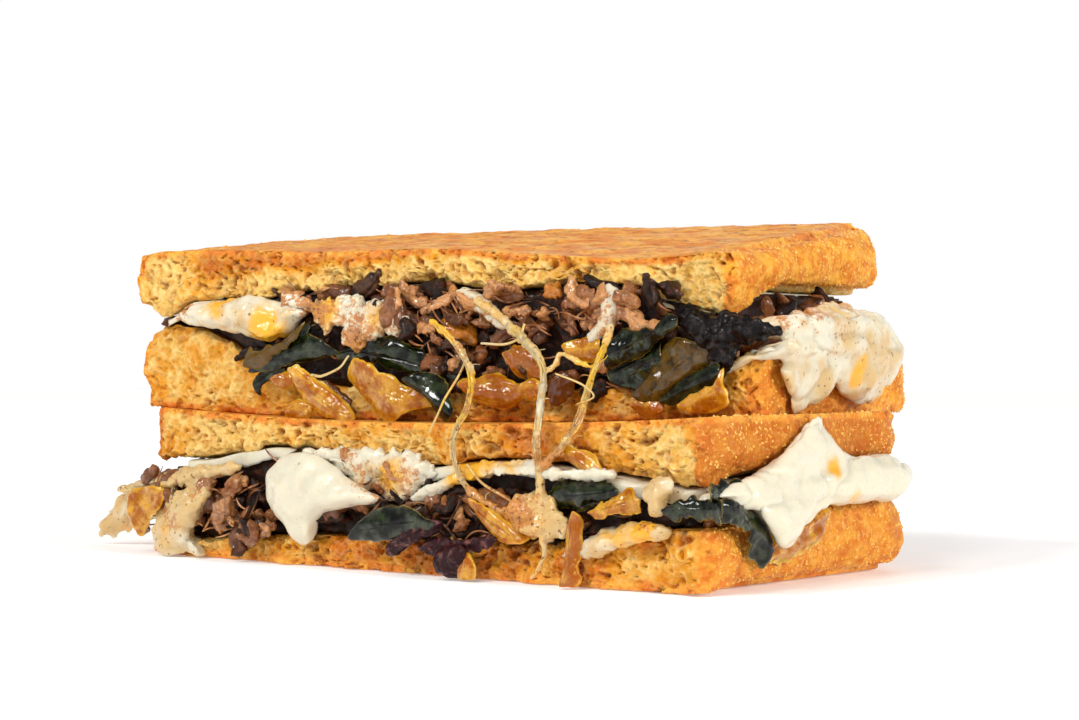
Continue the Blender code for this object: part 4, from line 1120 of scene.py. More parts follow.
# Each heap: name, node, half, the slices under and over it, the room left under the upper one, how far it
# bulges as (along, out), a seed, and the zones of its shreds on the cut face. A zone is its reach along, its
# reach in height, how far it stands out, a count, a slant in degrees and a tint from dark to pale.
HEAPS = [
    ("beef_upper", "upper_half_beef", UPPER, UPPER_BOTTOM, UPPER_TOP, 0.6,
     [(-72, 0), (-40, 0.6), (-10, 2.2), (30, 2.6), (60, 1.6), (84, 0)], 41,
     [((-42, -10), (42, 53), 0.4, 6, -20, 0.1), ((2, 66), (37, 48), 1.8, 16, 10, 0.2),
      ((-4, 16), (46, 56), 4, 9, -45, 0.75), ((14, 64), (49, 57.5), 3.4, 20, -10, 0.75),
      ((-34, 14), (54, 58.5), 1.2, 12, -5, 0.45), ((6, 20), (41, 50), 3.4, 4, -60, 0.6),
      ((64, 80), (45, 52), 1, 4, 0, 0.5)]),
    ("beef_lower", "lower_half_beef", LOWER, LOWER_BOTTOM, LOWER_TOP, 2.0,
     [(-77, 2.5), (-58, 3), (-40, 2.2), (-10, 1.2), (30, 1.6), (60, 1), (78, 0)], 42,
     [((-77, -34), (5, 18), 2.8, 18, 20, 0.6), ((-50, -34), (5, 17), 4.4, 6, 10, 0.8),
      ((-36, 8), (13, 23), 1.6, 9, 0, 0.5), ((-24, 60), (8, 18), 1.6, 16, 10, 0.2),
      ((4, 22), (9, 16), 3.2, 5, 20, 0.7)]),
]


def make_beef(look, size):
    """Both heaps: a core painted dark as shade in the gaps, shreds set on points by their attributes, and
    loose fibres.
    """
    group = bpy.data.collections.new("shreds")
    shred_meshes(look, group)
    shreds_of, strands_of = shred_tree(), strand_tree()
    for name, node, half, lower, upper, room_above, bulge, seed, zones in HEAPS:
        core, span = heap_core(half, lower, upper, room_above, bulge, seed, look)
        rows = shred_points(half, lower, upper, span, zones, seed)
        mesh = new_mesh(name, [row[0] for row in rows], [], look)
        for column, (label, kind) in enumerate(SHRED_VALUES, 1):
            layer = mesh.attributes.new(label, kind, "POINT")
            values = np.array([row[column] for row in rows], np.int32 if kind == "INT" else np.float32)
            layer.data.foreach_set("vector" if kind == "FLOAT_VECTOR" else "value", values.ravel())
        inputs = {"Shreds": group, "Size": size, "Material": look}
        shreds = run_tree(new_object("shreds", mesh), shreds_of, inputs)
        fibres = loose_fibres(half, zones, seed, look, strands_of)
        heap = join_pieces(name, [core, shreds, fibres], ("hue", "fibre"), look)
        finish_piece(heap, "shredded_beef", node)


# Outlines of the thin pieces, number by number: along, height, along, height on a cut face, and how far
# behind the cut face, height on an end.

OUTLINES = {label: list(zip(row[::2], row[1::2])) for label, row in {
    "pepper_upper_left": (-38, 40.5, -34.5, 43.5, -29.5, 46, -26.5, 48, -24.5, 50.5, -22.5, 51.5, -22.5, 49,
        -19.5, 48, -16, 46, -14, 44.5, -18.5, 43.5, -24, 42.5, -29, 41.5, -33.5, 40.5),
    "pepper_upper_left_edge": (-38, 46, -35.5, 45, -32, 46, -27.5, 47, -24.5, 49.5, -22.5, 51, -23.5, 48,
        -26, 46, -30, 44, -32.5, 42, -36, 41, -38, 42.5),
    "pepper_upper_left_fold": (-36.5, 40.5, -32, 41.5, -29, 41, -31.5, 39, -35, 37.5, -36, 35.5, -37, 37,
        -37.5, 39),
    "onion_bit_left": (-32.5, 39, -30.5, 40.5, -27.5, 40.5, -26, 39, -28, 37, -31, 37.5),
    "onion_upper_strip": (-26.5, 41, -24, 42, -21.5, 41, -19, 39.5, -16, 37.5, -13, 35.5, -11, 33.5, -9, 31,
        -11, 29.5, -13.5, 30.5, -16.5, 31, -20, 32.5, -22.5, 34.5, -24, 36.5, -25.5, 39),
    "onion_strip_low": (-27, 33.5, -24.5, 35, -22, 34, -20.5, 32, -22.5, 30, -26, 30, -27.5, 32),
    "onion_red": (-19.5, 39, -16, 38, -12.5, 36, -10.5, 34.5, -12, 33, -14.5, 34, -17, 36),
    "onion_upper_petal": (-12, 39.5, -10, 42.5, -7, 43.5, -4, 42.5, -2, 41, 1, 40, 3.5, 38, 7, 37, 10.5, 36,
        11.5, 34.5, 9.5, 33.5, 5.5, 32.5, 2.5, 31, -0.5, 29.5, -3, 31.5, -5.5, 33.5, -8.5, 36, -11, 38),
    "pepper_upper_strip": (3, 39, 6, 40, 10, 40.5, 12.5, 39, 14.5, 37, 16, 34.5, 16.5, 32, 14.5, 30, 12.5,
        30.5, 11, 33.5, 9, 35.5, 6, 37),
    "pepper_upper_middle": (-16, 44.5, -9.5, 47, -3.5, 48.5, 0.5, 47.5, 5.5, 45, 9.5, 43, 14, 42.5, 15, 39.5,
        12.5, 37.5, 8, 38.5, 3.5, 40.5, -2, 41.5, -8.5, 42.5, -13.5, 42.5),
    "onion_upper_centre": (17, 39, 21, 39.5, 24.5, 40.5, 27.5, 39.5, 30.5, 38.5, 33, 37.5, 32.5, 35.5, 29.5,
        34, 26, 33, 22.5, 34.5, 20, 35.5, 17.5, 37),
    "onion_white_bit": (32, 38, 34.5, 39.5, 37, 38, 36, 35.5, 33.5, 35),
    "onion_tan": (26, 44.5, 29, 46, 33, 45, 35.5, 43, 35.5, 39.5, 33, 38, 30, 39.5, 28, 42),
    "onion_upper_right": (41, 46, 45, 47.5, 49, 47.5, 49.5, 44.5, 47, 42.5, 43.5, 43.5),
    "onion_dark_red": (38, 40, 41.5, 41, 43.5, 38.5, 42, 35.5, 39, 34, 37.5, 37),
    "onion_low_amber": (58, 36, 60.5, 35, 62.5, 35.5, 65, 34.5, 64.5, 33, 61.5, 31.5, 59, 32.5, 57.5, 34),
    "pepper_upper_leaf": (51.5, 42.5, 52, 45, 53, 47.5, 54.5, 49.5, 57.5, 49, 60.5, 49.5, 62.5, 48.5, 63.5,
        50.5, 65.5, 52, 67.5, 51.5, 68, 50, 66, 48.5, 63.5, 47, 61, 45, 58, 43.5, 55, 42.5, 52.5, 41.5),
    "pepper_dark_sheet": (51.5, 41, 56, 43, 60, 45.5, 63, 47, 64, 43, 62.5, 39, 59, 37, 55, 37.5, 52, 39),
    "pepper_upper_wide": (57.5, 36.5, 60.5, 39, 63, 42.5, 64, 46, 66.5, 47.5, 70, 47, 73.5, 46, 75.5, 44.5,
        75, 42.5, 72, 41.5, 69, 39.5, 66.5, 37, 64, 34.5, 60.5, 33.5, 58, 35),
    "pepper_upper_corner": (64.5, 35, 66.5, 37.5, 70, 40, 73, 41.5, 76, 42.5, 77.5, 41.5, 78, 38.5, 75, 37.5,
        72, 36.5, 68.5, 35, 66.5, 34.5),
    "onion_upper_corner": (68.5, 34.5, 71, 36.5, 73.5, 37.5, 76.5, 38.5, 78, 41.5, 78.5, 41, 78.5, 38.5,
        79.5, 37, 79, 35, 77.5, 33.5, 74.5, 33, 72, 33, 69.5, 33.5),
    "pepper_lower_left": (-9.5, 6.5, -7.5, 9.5, -5.5, 11.5, -2.5, 13, 1, 14, 5.5, 14, 10, 13, 14, 11.5, 16,
        11, 13, 9, 9, 8, 3.5, 7, -3, 6.5),
    "onion_lower_purple": (1.5, 6, 5, 8.5, 8.5, 10, 13, 11.5, 16.5, 11, 14.5, 9, 10.5, 7.5, 6.5, 5.5, 2.5,
        3.5),
    "purple_under": (9, 5.5, 12.5, 8, 17.5, 8, 23, 8, 27.5, 9, 30.5, 8.5, 27.5, 6.5, 23, 5.5, 17.5, 4.5,
        12.5, 4),
    "onion_lower_purple_tip": (15, 5.5, 18, 7, 21, 7, 23.5, 6, 22.5, 3.5, 21, 1, 19, 0, 17, 0.5, 15, 2.5),
    "amber_tip": (21, 3.5, 23.5, 5.5, 25, 3, 24.5, 0, 21.5, 0, 20.5, 2),
    "onion_lower_petal": (22.5, 16, 25.5, 15.5, 29.5, 14, 32.5, 12, 35.5, 10.5, 37, 8.5, 33, 7.5, 30, 8, 27,
        10, 24, 12.5),
    "pepper_lower_middle": (40.5, 17, 43, 19.5, 47, 20.5, 51.5, 20, 54, 21, 57, 20, 58.5, 18, 55.5, 16.5, 52,
        15.5, 48, 14.5, 43.5, 15),
    "onion_lower_gap": (52, 14.5, 55, 16, 58.5, 18, 60.5, 19, 62.5, 18.5, 64, 17, 62.5, 15, 59, 14.5, 55.5,
        13.5),
    "onion_lower_ribbon": (45.5, 0, 46, 3.5, 46.5, 7.5, 46.5, 10.5, 47.5, 13, 49.5, 14.5, 50.5, 13, 50.5,
        9.5, 50, 5.5, 49.5, 1.5, 48, 0),
    "onion_lower_left_end": (-81, 13.5, -74.5, 15, -67.5, 14.5, -69, 11, -73, 7.5, -76.5, 4, -79, 7.5),
    "cheese_roll": (-59, 52.5, -56, 55, -51.5, 56, -47, 56.5, -40.5, 57, -33.5, 56, -28, 55, -23.5, 53.5,
        -27, 51, -29.5, 48.5, -33, 47, -37, 47, -39.5, 48, -43, 49, -49, 49.5, -54.5, 50.5),
    "lacy_cheese": (-29.5, 55.5, -24.5, 57, -19.5, 56.5, -13, 57, -6, 56, 0, 54.5, 4.5, 52.5, 3.5, 49.5, 0.5,
        48, -2.5, 49, -5, 47.5, -7.5, 46, -8.5, 44.5, -10, 44.5, -11.5, 46, -13.5, 47.5, -12, 49, -14.5, 50,
        -18, 49, -21.5, 51, -24.5, 53.5, -28, 54),
    "cheese_drip": (-31, 23, -25.5, 24, -21, 23.5, -16.5, 21.5, -12, 19, -6.5, 16.5, -2.5, 15.5, -4.5, 14,
        -11, 13, -16, 12, -20, 10.5, -22, 8, -22.5, 6, -25, 4.5, -28, 5, -29.5, 7.5, -31.5, 9.5, -34, 12,
        -35.5, 15, -35.5, 19, -33, 21.5),
    "browned_cheese": (-27, 24, -18, 25.5, -8, 25, 2, 24.5, 10, 23, 9, 19, 3.5, 15.5, -3.5, 14.5, -10.5,
        16.5, -18, 20.5),
    "cheese_wedge": (5, 15, 9.5, 17.5, 15, 20, 20.5, 22.5, 29.5, 23.5, 37, 24.5, 44.5, 22.5, 54, 22.5, 57,
        21.5, 52, 20, 44.5, 20.5, 37, 21, 29.5, 21, 21.5, 19.5, 15, 17, 9.5, 15.5),
    "cheese_under_crumb": (44, 6, 48, 8, 51.5, 10.5, 56, 12.5, 62, 13.5, 68, 13, 70.5, 12, 68.5, 10, 63.5, 9,
        57.5, 8, 51.5, 6, 47, 5),
    "cheese_beads": (64, 19, 66, 21, 69, 22, 71.5, 21, 70.5, 18.5, 68.5, 17, 69.5, 15.5, 67.5, 14, 65.5,
        14.5, 66, 16.5, 64.5, 17.5),
    "cheese_left_end": (-73, 3.5, -72.5, 8.5, -69.5, 12.5, -64, 15, -56.5, 16, -53.5, 14.5, -55.5, 11.5, -58,
        8.5, -60, 4, -56.5, 0.5, -62.5, -0.5, -69, 0),
    "cheese_left_band": (-88, 13.5, -80.5, 16.5, -70, 19, -60.5, 20.5, -50.5, 21, -44.5, 21, -47, 18.5,
        -55.5, 17, -63.5, 15, -73.5, 13.5, -82, 12.5),
    "cheese_lead_in": (75.5, 40.5, 77, 43.5, 80, 45, 84.5, 46.5, 89.5, 47.5, 92, 46, 89.5, 43.5, 85.5, 42.5,
        81.5, 42, 78, 40.5),
    "lump_big": (27, 45, 29, 49.5, 35.5, 52, 44, 53, 53, 52, 57.5, 48.5, 59, 44, 56.5, 38.5, 51, 35, 42.5,
        33.5, 35, 34.5, 30, 37, 26.5, 41),
    "lump_top": (9, 50.5, 16.5, 52.5, 25.5, 54, 37.5, 54.5, 46.5, 53, 45.5, 50, 35, 48.5, 23, 47.5, 16.5, 47,
        9, 47.5),
    "lump_flap": (3.5, 42, 11, 45, 20, 46, 28.5, 45.5, 30.5, 41, 27, 36.5, 21, 34.5, 14.5, 33, 11, 32.5, 7.5,
        35.5, 4.5, 39),
    "drape_main": (-2, 18.5, 4.5, 21, 11, 22, 16.5, 24, 22.5, 26.5, 26.5, 30, 30, 32, 33.5, 32, 36.5, 27.5,
        42, 25, 49.5, 24, 58, 22.5, 59.5, 19, 57.5, 16, 48.5, 15.5, 39.5, 15.5, 33.5, 14.5, 29, 12.5, 24.5,
        9.5, 20, 7.5, 15.5, 10.5, 12, 14.5, 9, 17, 3.5, 18),
    "drape_hump": (13, 22, 18, 25.5, 23, 28.5, 27, 31, 31, 29.5, 31.5, 25, 29.5, 21, 23, 20, 16, 20),
    "drape_right": (36.5, 22, 40, 24.5, 46.5, 24.5, 54, 23, 56, 19.5, 53.5, 16.5, 44.5, 16, 38, 18),
    "drape_tip": (7, 17.5, 12.5, 19, 21, 19, 28.5, 18, 27.5, 14.5, 23, 11.5, 17, 8, 13, 11, 9.5, 14.5),
    "onion_lower_right_end": (14.5, 10.5, 17.5, 13, 22.5, 16, 29, 17, 35.5, 16, 37, 12, 34, 8, 28.5, 6, 21.5,
        4.5, 16.5, 6),
    "pepper_lower_right_end": (-2, 17, 2.5, 17.5, 8, 16.5, 12, 14.5, 14.5, 11.5, 15.5, 8, 14, 5, 10.5, 6,
        8.5, 9, 7, 11.5, 3, 13, -2, 14),
    "pepper_lower_right_front": (69, 15.5, 72, 17.5, 75.5, 18.5, 79, 18, 82, 17.5, 82.5, 15, 79, 14, 75, 14,
        71.5, 14.5),
    "pepper_small": (-4, 19.5, -0.5, 21, 5, 21, 5.5, 19.5, 2, 18, -3, 17.5),
    "cheese_flap": (-86, 17, -93, 16, -99, 13.5, -103, 10.5, -105.5, 6.5, -107.5, 2.5, -106.5, 1, -103.5,
        1.5, -100.5, 2, -97.5, 3.5, -94, 5, -89, 7.5, -84.5, 10.5, -83, 14.5),
    "onion_lower_top": (44.5, 26.5, 48, 26.5, 52, 25, 54.5, 21.5, 52.5, 20, 49, 22, 46, 24),
    "knot": (33.5, 16.5, 37.5, 17.5, 41, 16.5, 45, 14.5, 46.5, 12, 45, 9.5, 42, 8.5, 38.5, 9, 35.5, 10, 33,
        12.5, 32, 14.5),
}.items()}


# Cheese.

def cheese_sheet(half, upper, span, thick, reach, seed, look):
    """The melted layer under the upper slice."""
    lattice, faces = box_lattice(CHEESE_COUNTS)
    u, v, w = (lattice[:, n] / CHEESE_COUNTS[n] * 2 - 1 for n in range(3))
    along = span[0] + (span[1] - span[0]) * (u + 1) / 2
    deep = FRONT + (HALF_DEPTH - CHEESE_INSET) * ((v + 1) / 2) ** 1.5
    front = np.exp(-(deep - FRONT) / 2.5)
    along, deep = round_corner(along, deep, span[0], span[1], FRONT, BACK - CHEESE_INSET)
    high = upper.bottom(along, deep) - CHEESE_GAP
    own = np.stack([along, deep, high], -1)
    wall = thick * (1 + 0.35 * lumps(own, 6, seed) + 0.15 * lumps(own, 2.5, seed + 1)) * (1 + 0.6 * front)
    height = high - wall * (1 - w) / 2
    wave = profile(reach, along) + 1.0 * lumps(own, 7, seed + 2) + 0.5 * lumps(own, 2.8, seed + 3)
    deep = deep - front * wave * (1 - 0.5 * np.abs(w) ** 3)
    height -= front * 0.6 * (1 + lumps(own, 6, seed + 4))
    mesh = new_mesh("sheet", half.world(np.stack([along, deep, height], -1)), faces, look)
    return new_object("sheet", mesh)


def finish_cheese(obj, node, half, brown, yellow, start):
    """Paints where the cheese is browned, oily and creamy, above the three given starts, and hands it on."""
    paint_spots(obj.data, half, brown, "brown", start[0])
    paint_spots(obj.data, half, yellow, "yellow", start[1])
    here = points_of(obj.data) / MM
    add_value(obj.data, "cream", start[2] + 0.5 * lumps(here, 9, 3) + 0.3 * lumps(here, 3, 4))
    finish_piece(obj, "melted_cheese", node)


def upper_cheeses(look, voxel):
    def puff(label, out, **options):
        return make_sheet(label, UPPER, OUTLINES[label], out, look, **options)

    root = [(16, 2, 56.5, 1.6), (22, 3, 54.0, 1.7), (27, 4, 50.5, 1.4)]
    tuft = [(50, 1, 56, 2.0), (52, 2.5, 52.5, 2.1), (50, 3, 49.5, 1.6), (47.5, 3, 47.5, 1.2)]
    glob = [(-37, 4, 50, 1.8), (-33, 4.6, 49.2, 2.0), (-29.5, 4, 50.4, 1.6)]
    reach = [(-68, 0), (-50, 0), (-38, -3), (-12, -5), (40, -5), (70, -3)]
    roll = make_blob("roll", UPPER, [glob], look, voxel, wobble=0.45, crease=0.5, seed=51,
                     parts=[puff("cheese_roll", 2.2, thick=6.0, flat=2.2, curl=1.0, frill=0.4)])
    lace = make_blob("lace", UPPER, [], look, voxel * 0.8, wobble=0.6, crinkle=0.45, crease=0.8, soften=2,
                     seed=52, parts=[
                         puff("lacy_cheese", 2.8, thick=2.8, flat=4, curl=0.5, ripple=1.2, frill=1.3)])
    pieces = [cheese_sheet(UPPER, UPPER_TOP, (-66, 71), 0.9, reach, 5, look), roll, lace]
    pieces.append(make_blob("root", UPPER, [root, tuft], look, voxel, wobble=0.5, crinkle=0.25, seed=53))
    finish_cheese(join_pieces("cheese_upper", pieces, (), look), "upper_half_cheese", UPPER,
                  [(-20, 3, 53, 6, 0.5), (-8, 3, 53, 7, 0.42), (2, 3, 51, 5, 0.6), (50, 3, 51, 6, 0.6),
                   (-58, 1, 53, 4, 1.0), (-10, 3, 46, 5, 0.7), (24, 3, 52, 6, 0.5), (-23, 3, 56, 6, 0.4)],
                  [(-33, 4, 49, 5, 1.0), (-47, 3, 55, 5, 0.6), (-18, 4, 54, 4, 0.9), (-4, 4, 51, 4, 0.5),
                   (10, 2, 56, 8, 0.5), (40, 2, 56, 8, 0.5), (-10, 4, 45.5, 3, 0.6)], (0.0, 0.15, 0.35))
    lump = make_blob("cheese_lump", UPPER, [
        [(80, -7, 49, 2.2), (85, -11, 49.5, 2.6), (86, -22, 50, 2.6), (86, -36, 50.4, 2.8),
         (85.5, -50, 49, 2.6)],
        [(80, -2, 44.5, 1.4), (85, -6, 45, 2.2), (86.2, -20, 46, 2.6), (86.4, -36, 46, 3.0)]],
        look, voxel, wobble=0.55, crinkle=0.08, crease=1.1, seed=54, lump=6.5, soften=10, parts=[
            puff("lump_big", 8.0, end=END_CRUST, thick=6.4, flat=2.4, curl=0.6, frill=0.5),
            puff("lump_top", 6.4, end=END_CRUST, thick=4.0, flat=2.6, curl=0.5, frill=0.9),
            puff("lump_flap", 8.6, end=END_CRUST, thick=2.2, flat=4, curl=0.8, fold=0.12, frill=0.4),
            puff("cheese_lead_in", 0.8, thick=3.4, flat=2.4, frill=0.5)])
    finish_cheese(lump, "upper_half_cheese_lump", UPPER,
                  [(84, -18, 55, 6, 0.8), (86, -34, 56, 5, 0.6), (84, -8, 50, 3, 0.5), (87, -26, 48, 3, 0.45),
                   (88, -56, 37, 3, 0.4)],
                  [(88, -33.5, 39, 3, 1.0), (88, -35, 43, 2, 0.7), (78, 0, 45, 3.5, 0.9)], (0.1, 0.0, 0.5))


def lower_cheeses(look, voxel):
    def puff(label, out, **options):
        return make_sheet(label, LOWER, OUTLINES[label], out, look, **options)

    reach = [(-70, 0), (-30, 0.5), (0, 1), (50, 1), (74, 0.5)]
    drip = make_blob("drip", LOWER, [], look, voxel, wobble=0.25, crinkle=0.02, soften=8, seed=61, parts=[
        puff("cheese_drip", 3.4, thick=6.0, flat=2.2, curl=0.8, frill=0.15)])
    rough = make_blob("rough", LOWER, [], look, voxel, wobble=0.6, crinkle=0.3, crease=0.7, soften=3, seed=62,
                      parts=[puff("browned_cheese", 0.4, thick=3.0, flat=3, ripple=1.2, frill=1.2),
                             puff("cheese_wedge", 2.4, thick=3.0, flat=3, frill=0.5)])
    pieces = [cheese_sheet(LOWER, LOWER_TOP, (-66, 73), 1.7, reach, 6, look), drip, rough]
    finish_cheese(join_pieces("cheese_lower", pieces, (), look), "lower_half_cheese", LOWER,
                  [(-6, 1, 17, 6, 0.55), (4, 1, 20, 6, 0.55), (-13, 1, 22, 4, 0.5), (26, 2, 20.5, 4, 0.4),
                   (-22, 0, 24, 4, 0.5)],
                  [(20, 2, 22.5, 7, 1.0), (-9, 1, 19, 6, 0.45), (3, 1, 19, 6, 0.5), (32, 2, 23.5, 6, 0.5),
                   (44, 2, 21, 4, 0.4), (-2, 2, 20, 4, 0.5)], (0.0, 0.0, 0.0))
    drape = make_blob("cheese_drape", LOWER, [
        [(76, -1, 17.2, 1.8), (80, -5, 17.8, 2.2), (80.5, -14, 18.4, 2.8), (80.4, -30, 19, 3.6),
         (79.8, -42, 19.6, 4.4), (79.4, -54, 19.6, 4.8), (78.8, -62, 19.8, 3.6)]],
        look, voxel, wobble=0.3, crinkle=0.02, soften=9, seed=63, lump=7.5, crease=0.8, parts=[
            puff("drape_main", 2.6, end=END_CRUST, thick=5.0, flat=2.6, curl=0.2, frill=0.3, around=220,
                 rings=24),
            puff("drape_hump", 4.4, end=END_CRUST, thick=4.4, flat=2.2, curl=0.8, frill=0.2),
            puff("drape_right", 4.2, end=END_CRUST, thick=4.4, flat=2.2, curl=0.8, frill=0.3),
            puff("drape_tip", 4.8, end=END_CRUST, thick=3.6, flat=2.4, curl=0.8, frill=0.2)])
    finish_cheese(drape, "lower_half_cheese_drape", LOWER, [(81, -62, 19, 4, 0.45), (82, -35, 18, 2.5, 0.3)],
                  [(82, -33.5, 22, 3, 0.8), (83, -40, 17, 2.5, 0.6), (78, -2, 17, 4, 0.5)],
                  (0.0, 0.05, -0.3))
    flap = make_blob("cheese_flap", LOWER, [
        [(-68, -14, 16.5, 1.6), (-78, -13, 16, 1.8), (-88, -12.5, 12, 1.6)]],
        look, voxel, wobble=0.5, crinkle=0.12, crease=0.8, soften=4, seed=66, parts=[
            puff("cheese_flap", -12, thick=2.6, flat=3, curl=1.6, ripple=1.4, lean=(-0.15, 0), frill=0.8)])
    finish_cheese(flap, "lower_half_cheese_flap", LOWER, [(-98, -12, 9, 5, 0.3), (-82, -12, 17, 5, 0.35)],
                  [(-84, -12, 11, 8, 0.45), (-100, -12, 6, 8, 0.3)], (0.0, 0.1, 0.6))
    left = make_blob("cheese_left_end", LOWER, [], look, voxel, wobble=0.6, crinkle=0.25, crease=0.9,
                     soften=5, seed=64, parts=[
                         puff("cheese_left_end", 2.8, thick=4.2, flat=2.6, ripple=1.0, frill=0.9),
                         puff("cheese_left_band", 1.6, thick=3.0, flat=2.6, lean=(0.05, 0), frill=0.5)])
    finish_cheese(left, "lower_half_cheese_left_end", LOWER,
                  [(-70, 3, 12, 4, 0.5), (-64, 3, 7, 4, 0.6), (-58, 3, 14, 3, 0.5)],
                  [(-72, 2, 14, 4, 0.6), (-66, 3, 5, 4, 0.4)], (0.08, 0.1, 0.9))
    under = make_blob("cheese_on_bottom_bread", LOWER, [], look, voxel, wobble=0.4, crinkle=0.2, crease=0.6,
                      soften=5, seed=65, parts=[
                          puff("cheese_under_crumb", 2.0, thick=3.8, flat=2.4, frill=0.5),
                          puff("cheese_beads", 2.8, thick=3.6, flat=2.4, frill=0.5)])
    finish_cheese(under, "lower_half_cheese_on_bottom_bread", LOWER, [(65, 3, 12.5, 2, 0.7)],
                  [(58, 3, 10, 5, 0.5), (65, 3, 12, 3, 0.8)], (0.0, 0.1, 0.4))


# Strings as rows of (along, out, height, radius) on the lower half, from their upper end down.

STRING_LEFT = [(4.8, -4.4, 51, 1.5), (13, -3, 46, 1.3), (19, -0.4, 40, 1.1), (20.6, 2.6, 34, 1.0),
               (18.6, 4.2, 28, 0.9), (19.2, 4.4, 22.4, 0.95), (22.3, 4, 17.6, 1.2), (29.4, 3.7, 14, 1.5),
               (35, 3, 11.5, 2.0)]
STRING_MIDDLE = [(12.6, -9.5, 55, 1.9), (21, -7.8, 51, 1.9), (30.4, -4.4, 46, 1.5), (35.4, -2.9, 41.5, 1.3),
                 (37.8, 0.5, 35.3, 1.2), (39.4, 3.7, 27.7, 1.2), (40.2, 4, 22, 1.4), (39.8, 3, 16.3, 1.5),
                 (39.5, 3.2, 12.5, 2.6)]
STRING_RIGHT = [(46.4, -10, 49.3, 1.6), (47.8, -5.7, 44.6, 1.2), (47.7, -2.8, 40.2, 1.0),
                (48.4, 0.4, 35.4, 1.2), (48.5, 3, 30.7, 1.4), (45.8, 4, 26.9, 1.5), (42.2, 4.2, 23.8, 1.3),
                (40.4, 4, 22, 1.2)]
CROSS_THREAD = [(35.7, -2.5, 40.8, 0.9), (37.8, -3.4, 42, 0.9), (38.4, -4.4, 44.4, 0.8),
                (42.6, -4, 43.1, 0.8), (47.2, -3.6, 41.6, 0.8)]
KNOT = [(34, 3, 11, 2.2), (39, 3.4, 11, 3.0), (42, 3, 12.5, 1.8)]
TAIL = [(40.4, 3.2, 10, 1.6), (41, 3.2, 6.4, 0.9), (39.4, 3.2, 3.4, 0.75), (37.6, 3.2, 1.4, 0.7)]
THREADS = [
    [(15.5, -2.6, 43.2, 0.35), (15.6, 1.5, 37.8, 0.4), (14.2, 3.8, 33.4, 0.35), (12.2, 4.4, 28.6, 0.4)],
    [(19.2, -3, 46.4, 0.4), (24.6, -4, 46.2, 0.45), (27.2, -5, 47.4, 0.4), (28.2, -6, 50.2, 0.45)],
    [(-21, 4.5, 40, 0.5), (-17, 5.4, 39.8, 0.5), (-13, 4.8, 41.4, 0.4), (-11, 3.5, 44, 0.35)],
    [(43.5, 3.2, 40.5, 0.3), (50, 2.4, 38.2, 0.35), (51.5, 1.8, 36.2, 0.3), (47.4, 1.6, 34.6, 0.35)],
    [(33, 3.2, 15.5, 0.5), (29.5, 3.8, 17.4, 0.5), (24.6, 3.8, 19.6, 0.45), (21.8, 3.8, 22.6, 0.4)]]


def strand_paths():
    """Thin strands that run along the thick strings or leave them, as rows (along, out, height, radius)."""
    dice = random.Random(15)
    made = []
    for path in (STRING_LEFT, STRING_MIDDLE, STRING_RIGHT):
        for _ in range(9):
            start = dice.uniform(0, 0.45)
            stop = start + dice.uniform(0.25, 0.5)
            row = smooth_line(path, 120)[int(120 * start):int(120 * stop)].copy()
            share = np.linspace(0, 1, len(row))
            phase, turns = dice.uniform(0, 6.3), dice.uniform(0.1, 0.45)
            reach = row[:, 3] * dice.uniform(0.4, 0.75)
            row[:, 0] += reach * np.cos(phase + turns * share * 6.3)
            row[:, 1] += np.abs(reach * np.sin(phase + turns * share * 6.3)) * 0.8
            row[:, 3] = dice.uniform(0.14, 0.3) * (0.5 + 0.6 * np.sin(share * math.pi))
            made.append(row)
        for number in range(5):
            root = smooth_line(path, 60)[dice.randrange(8, 52)]
            way, length = dice.choice((-1, 1)), dice.uniform(1.6, 4.5)
            share = np.linspace(0, 1, 14)
            row = np.stack([root[0] + way * share * length * 0.6 + 0.5 * np.sin(share * 5 + number),
                            root[1] + 0.2 + share * dice.uniform(-1.5, 0.5),
                            root[2] + share * length * dice.uniform(-0.9, 0.9),
                            0.16 * (1 - 0.6 * share)], -1)
            made.append(row)
    for path in THREADS:
        row = smooth_line(path, 60)
        row[:, 0] += 0.2 * np.sin(np.linspace(0, 11, 60))
        row[:, 3] *= 0.6
        made.append(row)
    return made


def make_web(look, voxel, tree):
    """The strings that still join the halves, with their thin strands and the knot where they meet."""
    threads = [STRING_LEFT, STRING_MIDDLE, STRING_RIGHT, CROSS_THREAD, KNOT, TAIL]
    knot = make_sheet("knot", LOWER, OUTLINES["knot"], 3.4, look, thick=2.8, flat=2.6, ripple=1.2, frill=1.3)
    thick = make_blob("thick", LOWER, threads, look, min(voxel, 0.3), soften=3, wobble=0.4, crinkle=0.22,
                      seed=71, lump=2.2, thin=0.66, crease=0.35, parts=[knot])
    thin = swept_strands("strands", LOWER, strand_paths(), 8, look, tree)
    finish_cheese(join_pieces("cheese_strings", [thick, thin], (), look), "lower_half_cheese_strings", LOWER,
                  [(29, 4, 14, 6, 0.5), (22, 4, 17, 4, 0.4), (14, -3, 46, 6, 0.35), (43, 4, 25, 5, 0.6),
                   (36, 4, 12.5, 5, 0.45), (48, 2, 32, 5, 0.4), (20, 2, 34, 5, 0.4)],
                  [(48, -4, 42, 6, 0.5), (48, 2, 32, 4, 0.3), (33, 4, 12, 5, 0.3), (5, -4, 51, 6, 0.5),
                   (20, 2, 36, 5, 0.6)], (0.2, 0.36, 1.0))


# Peppers and onions.

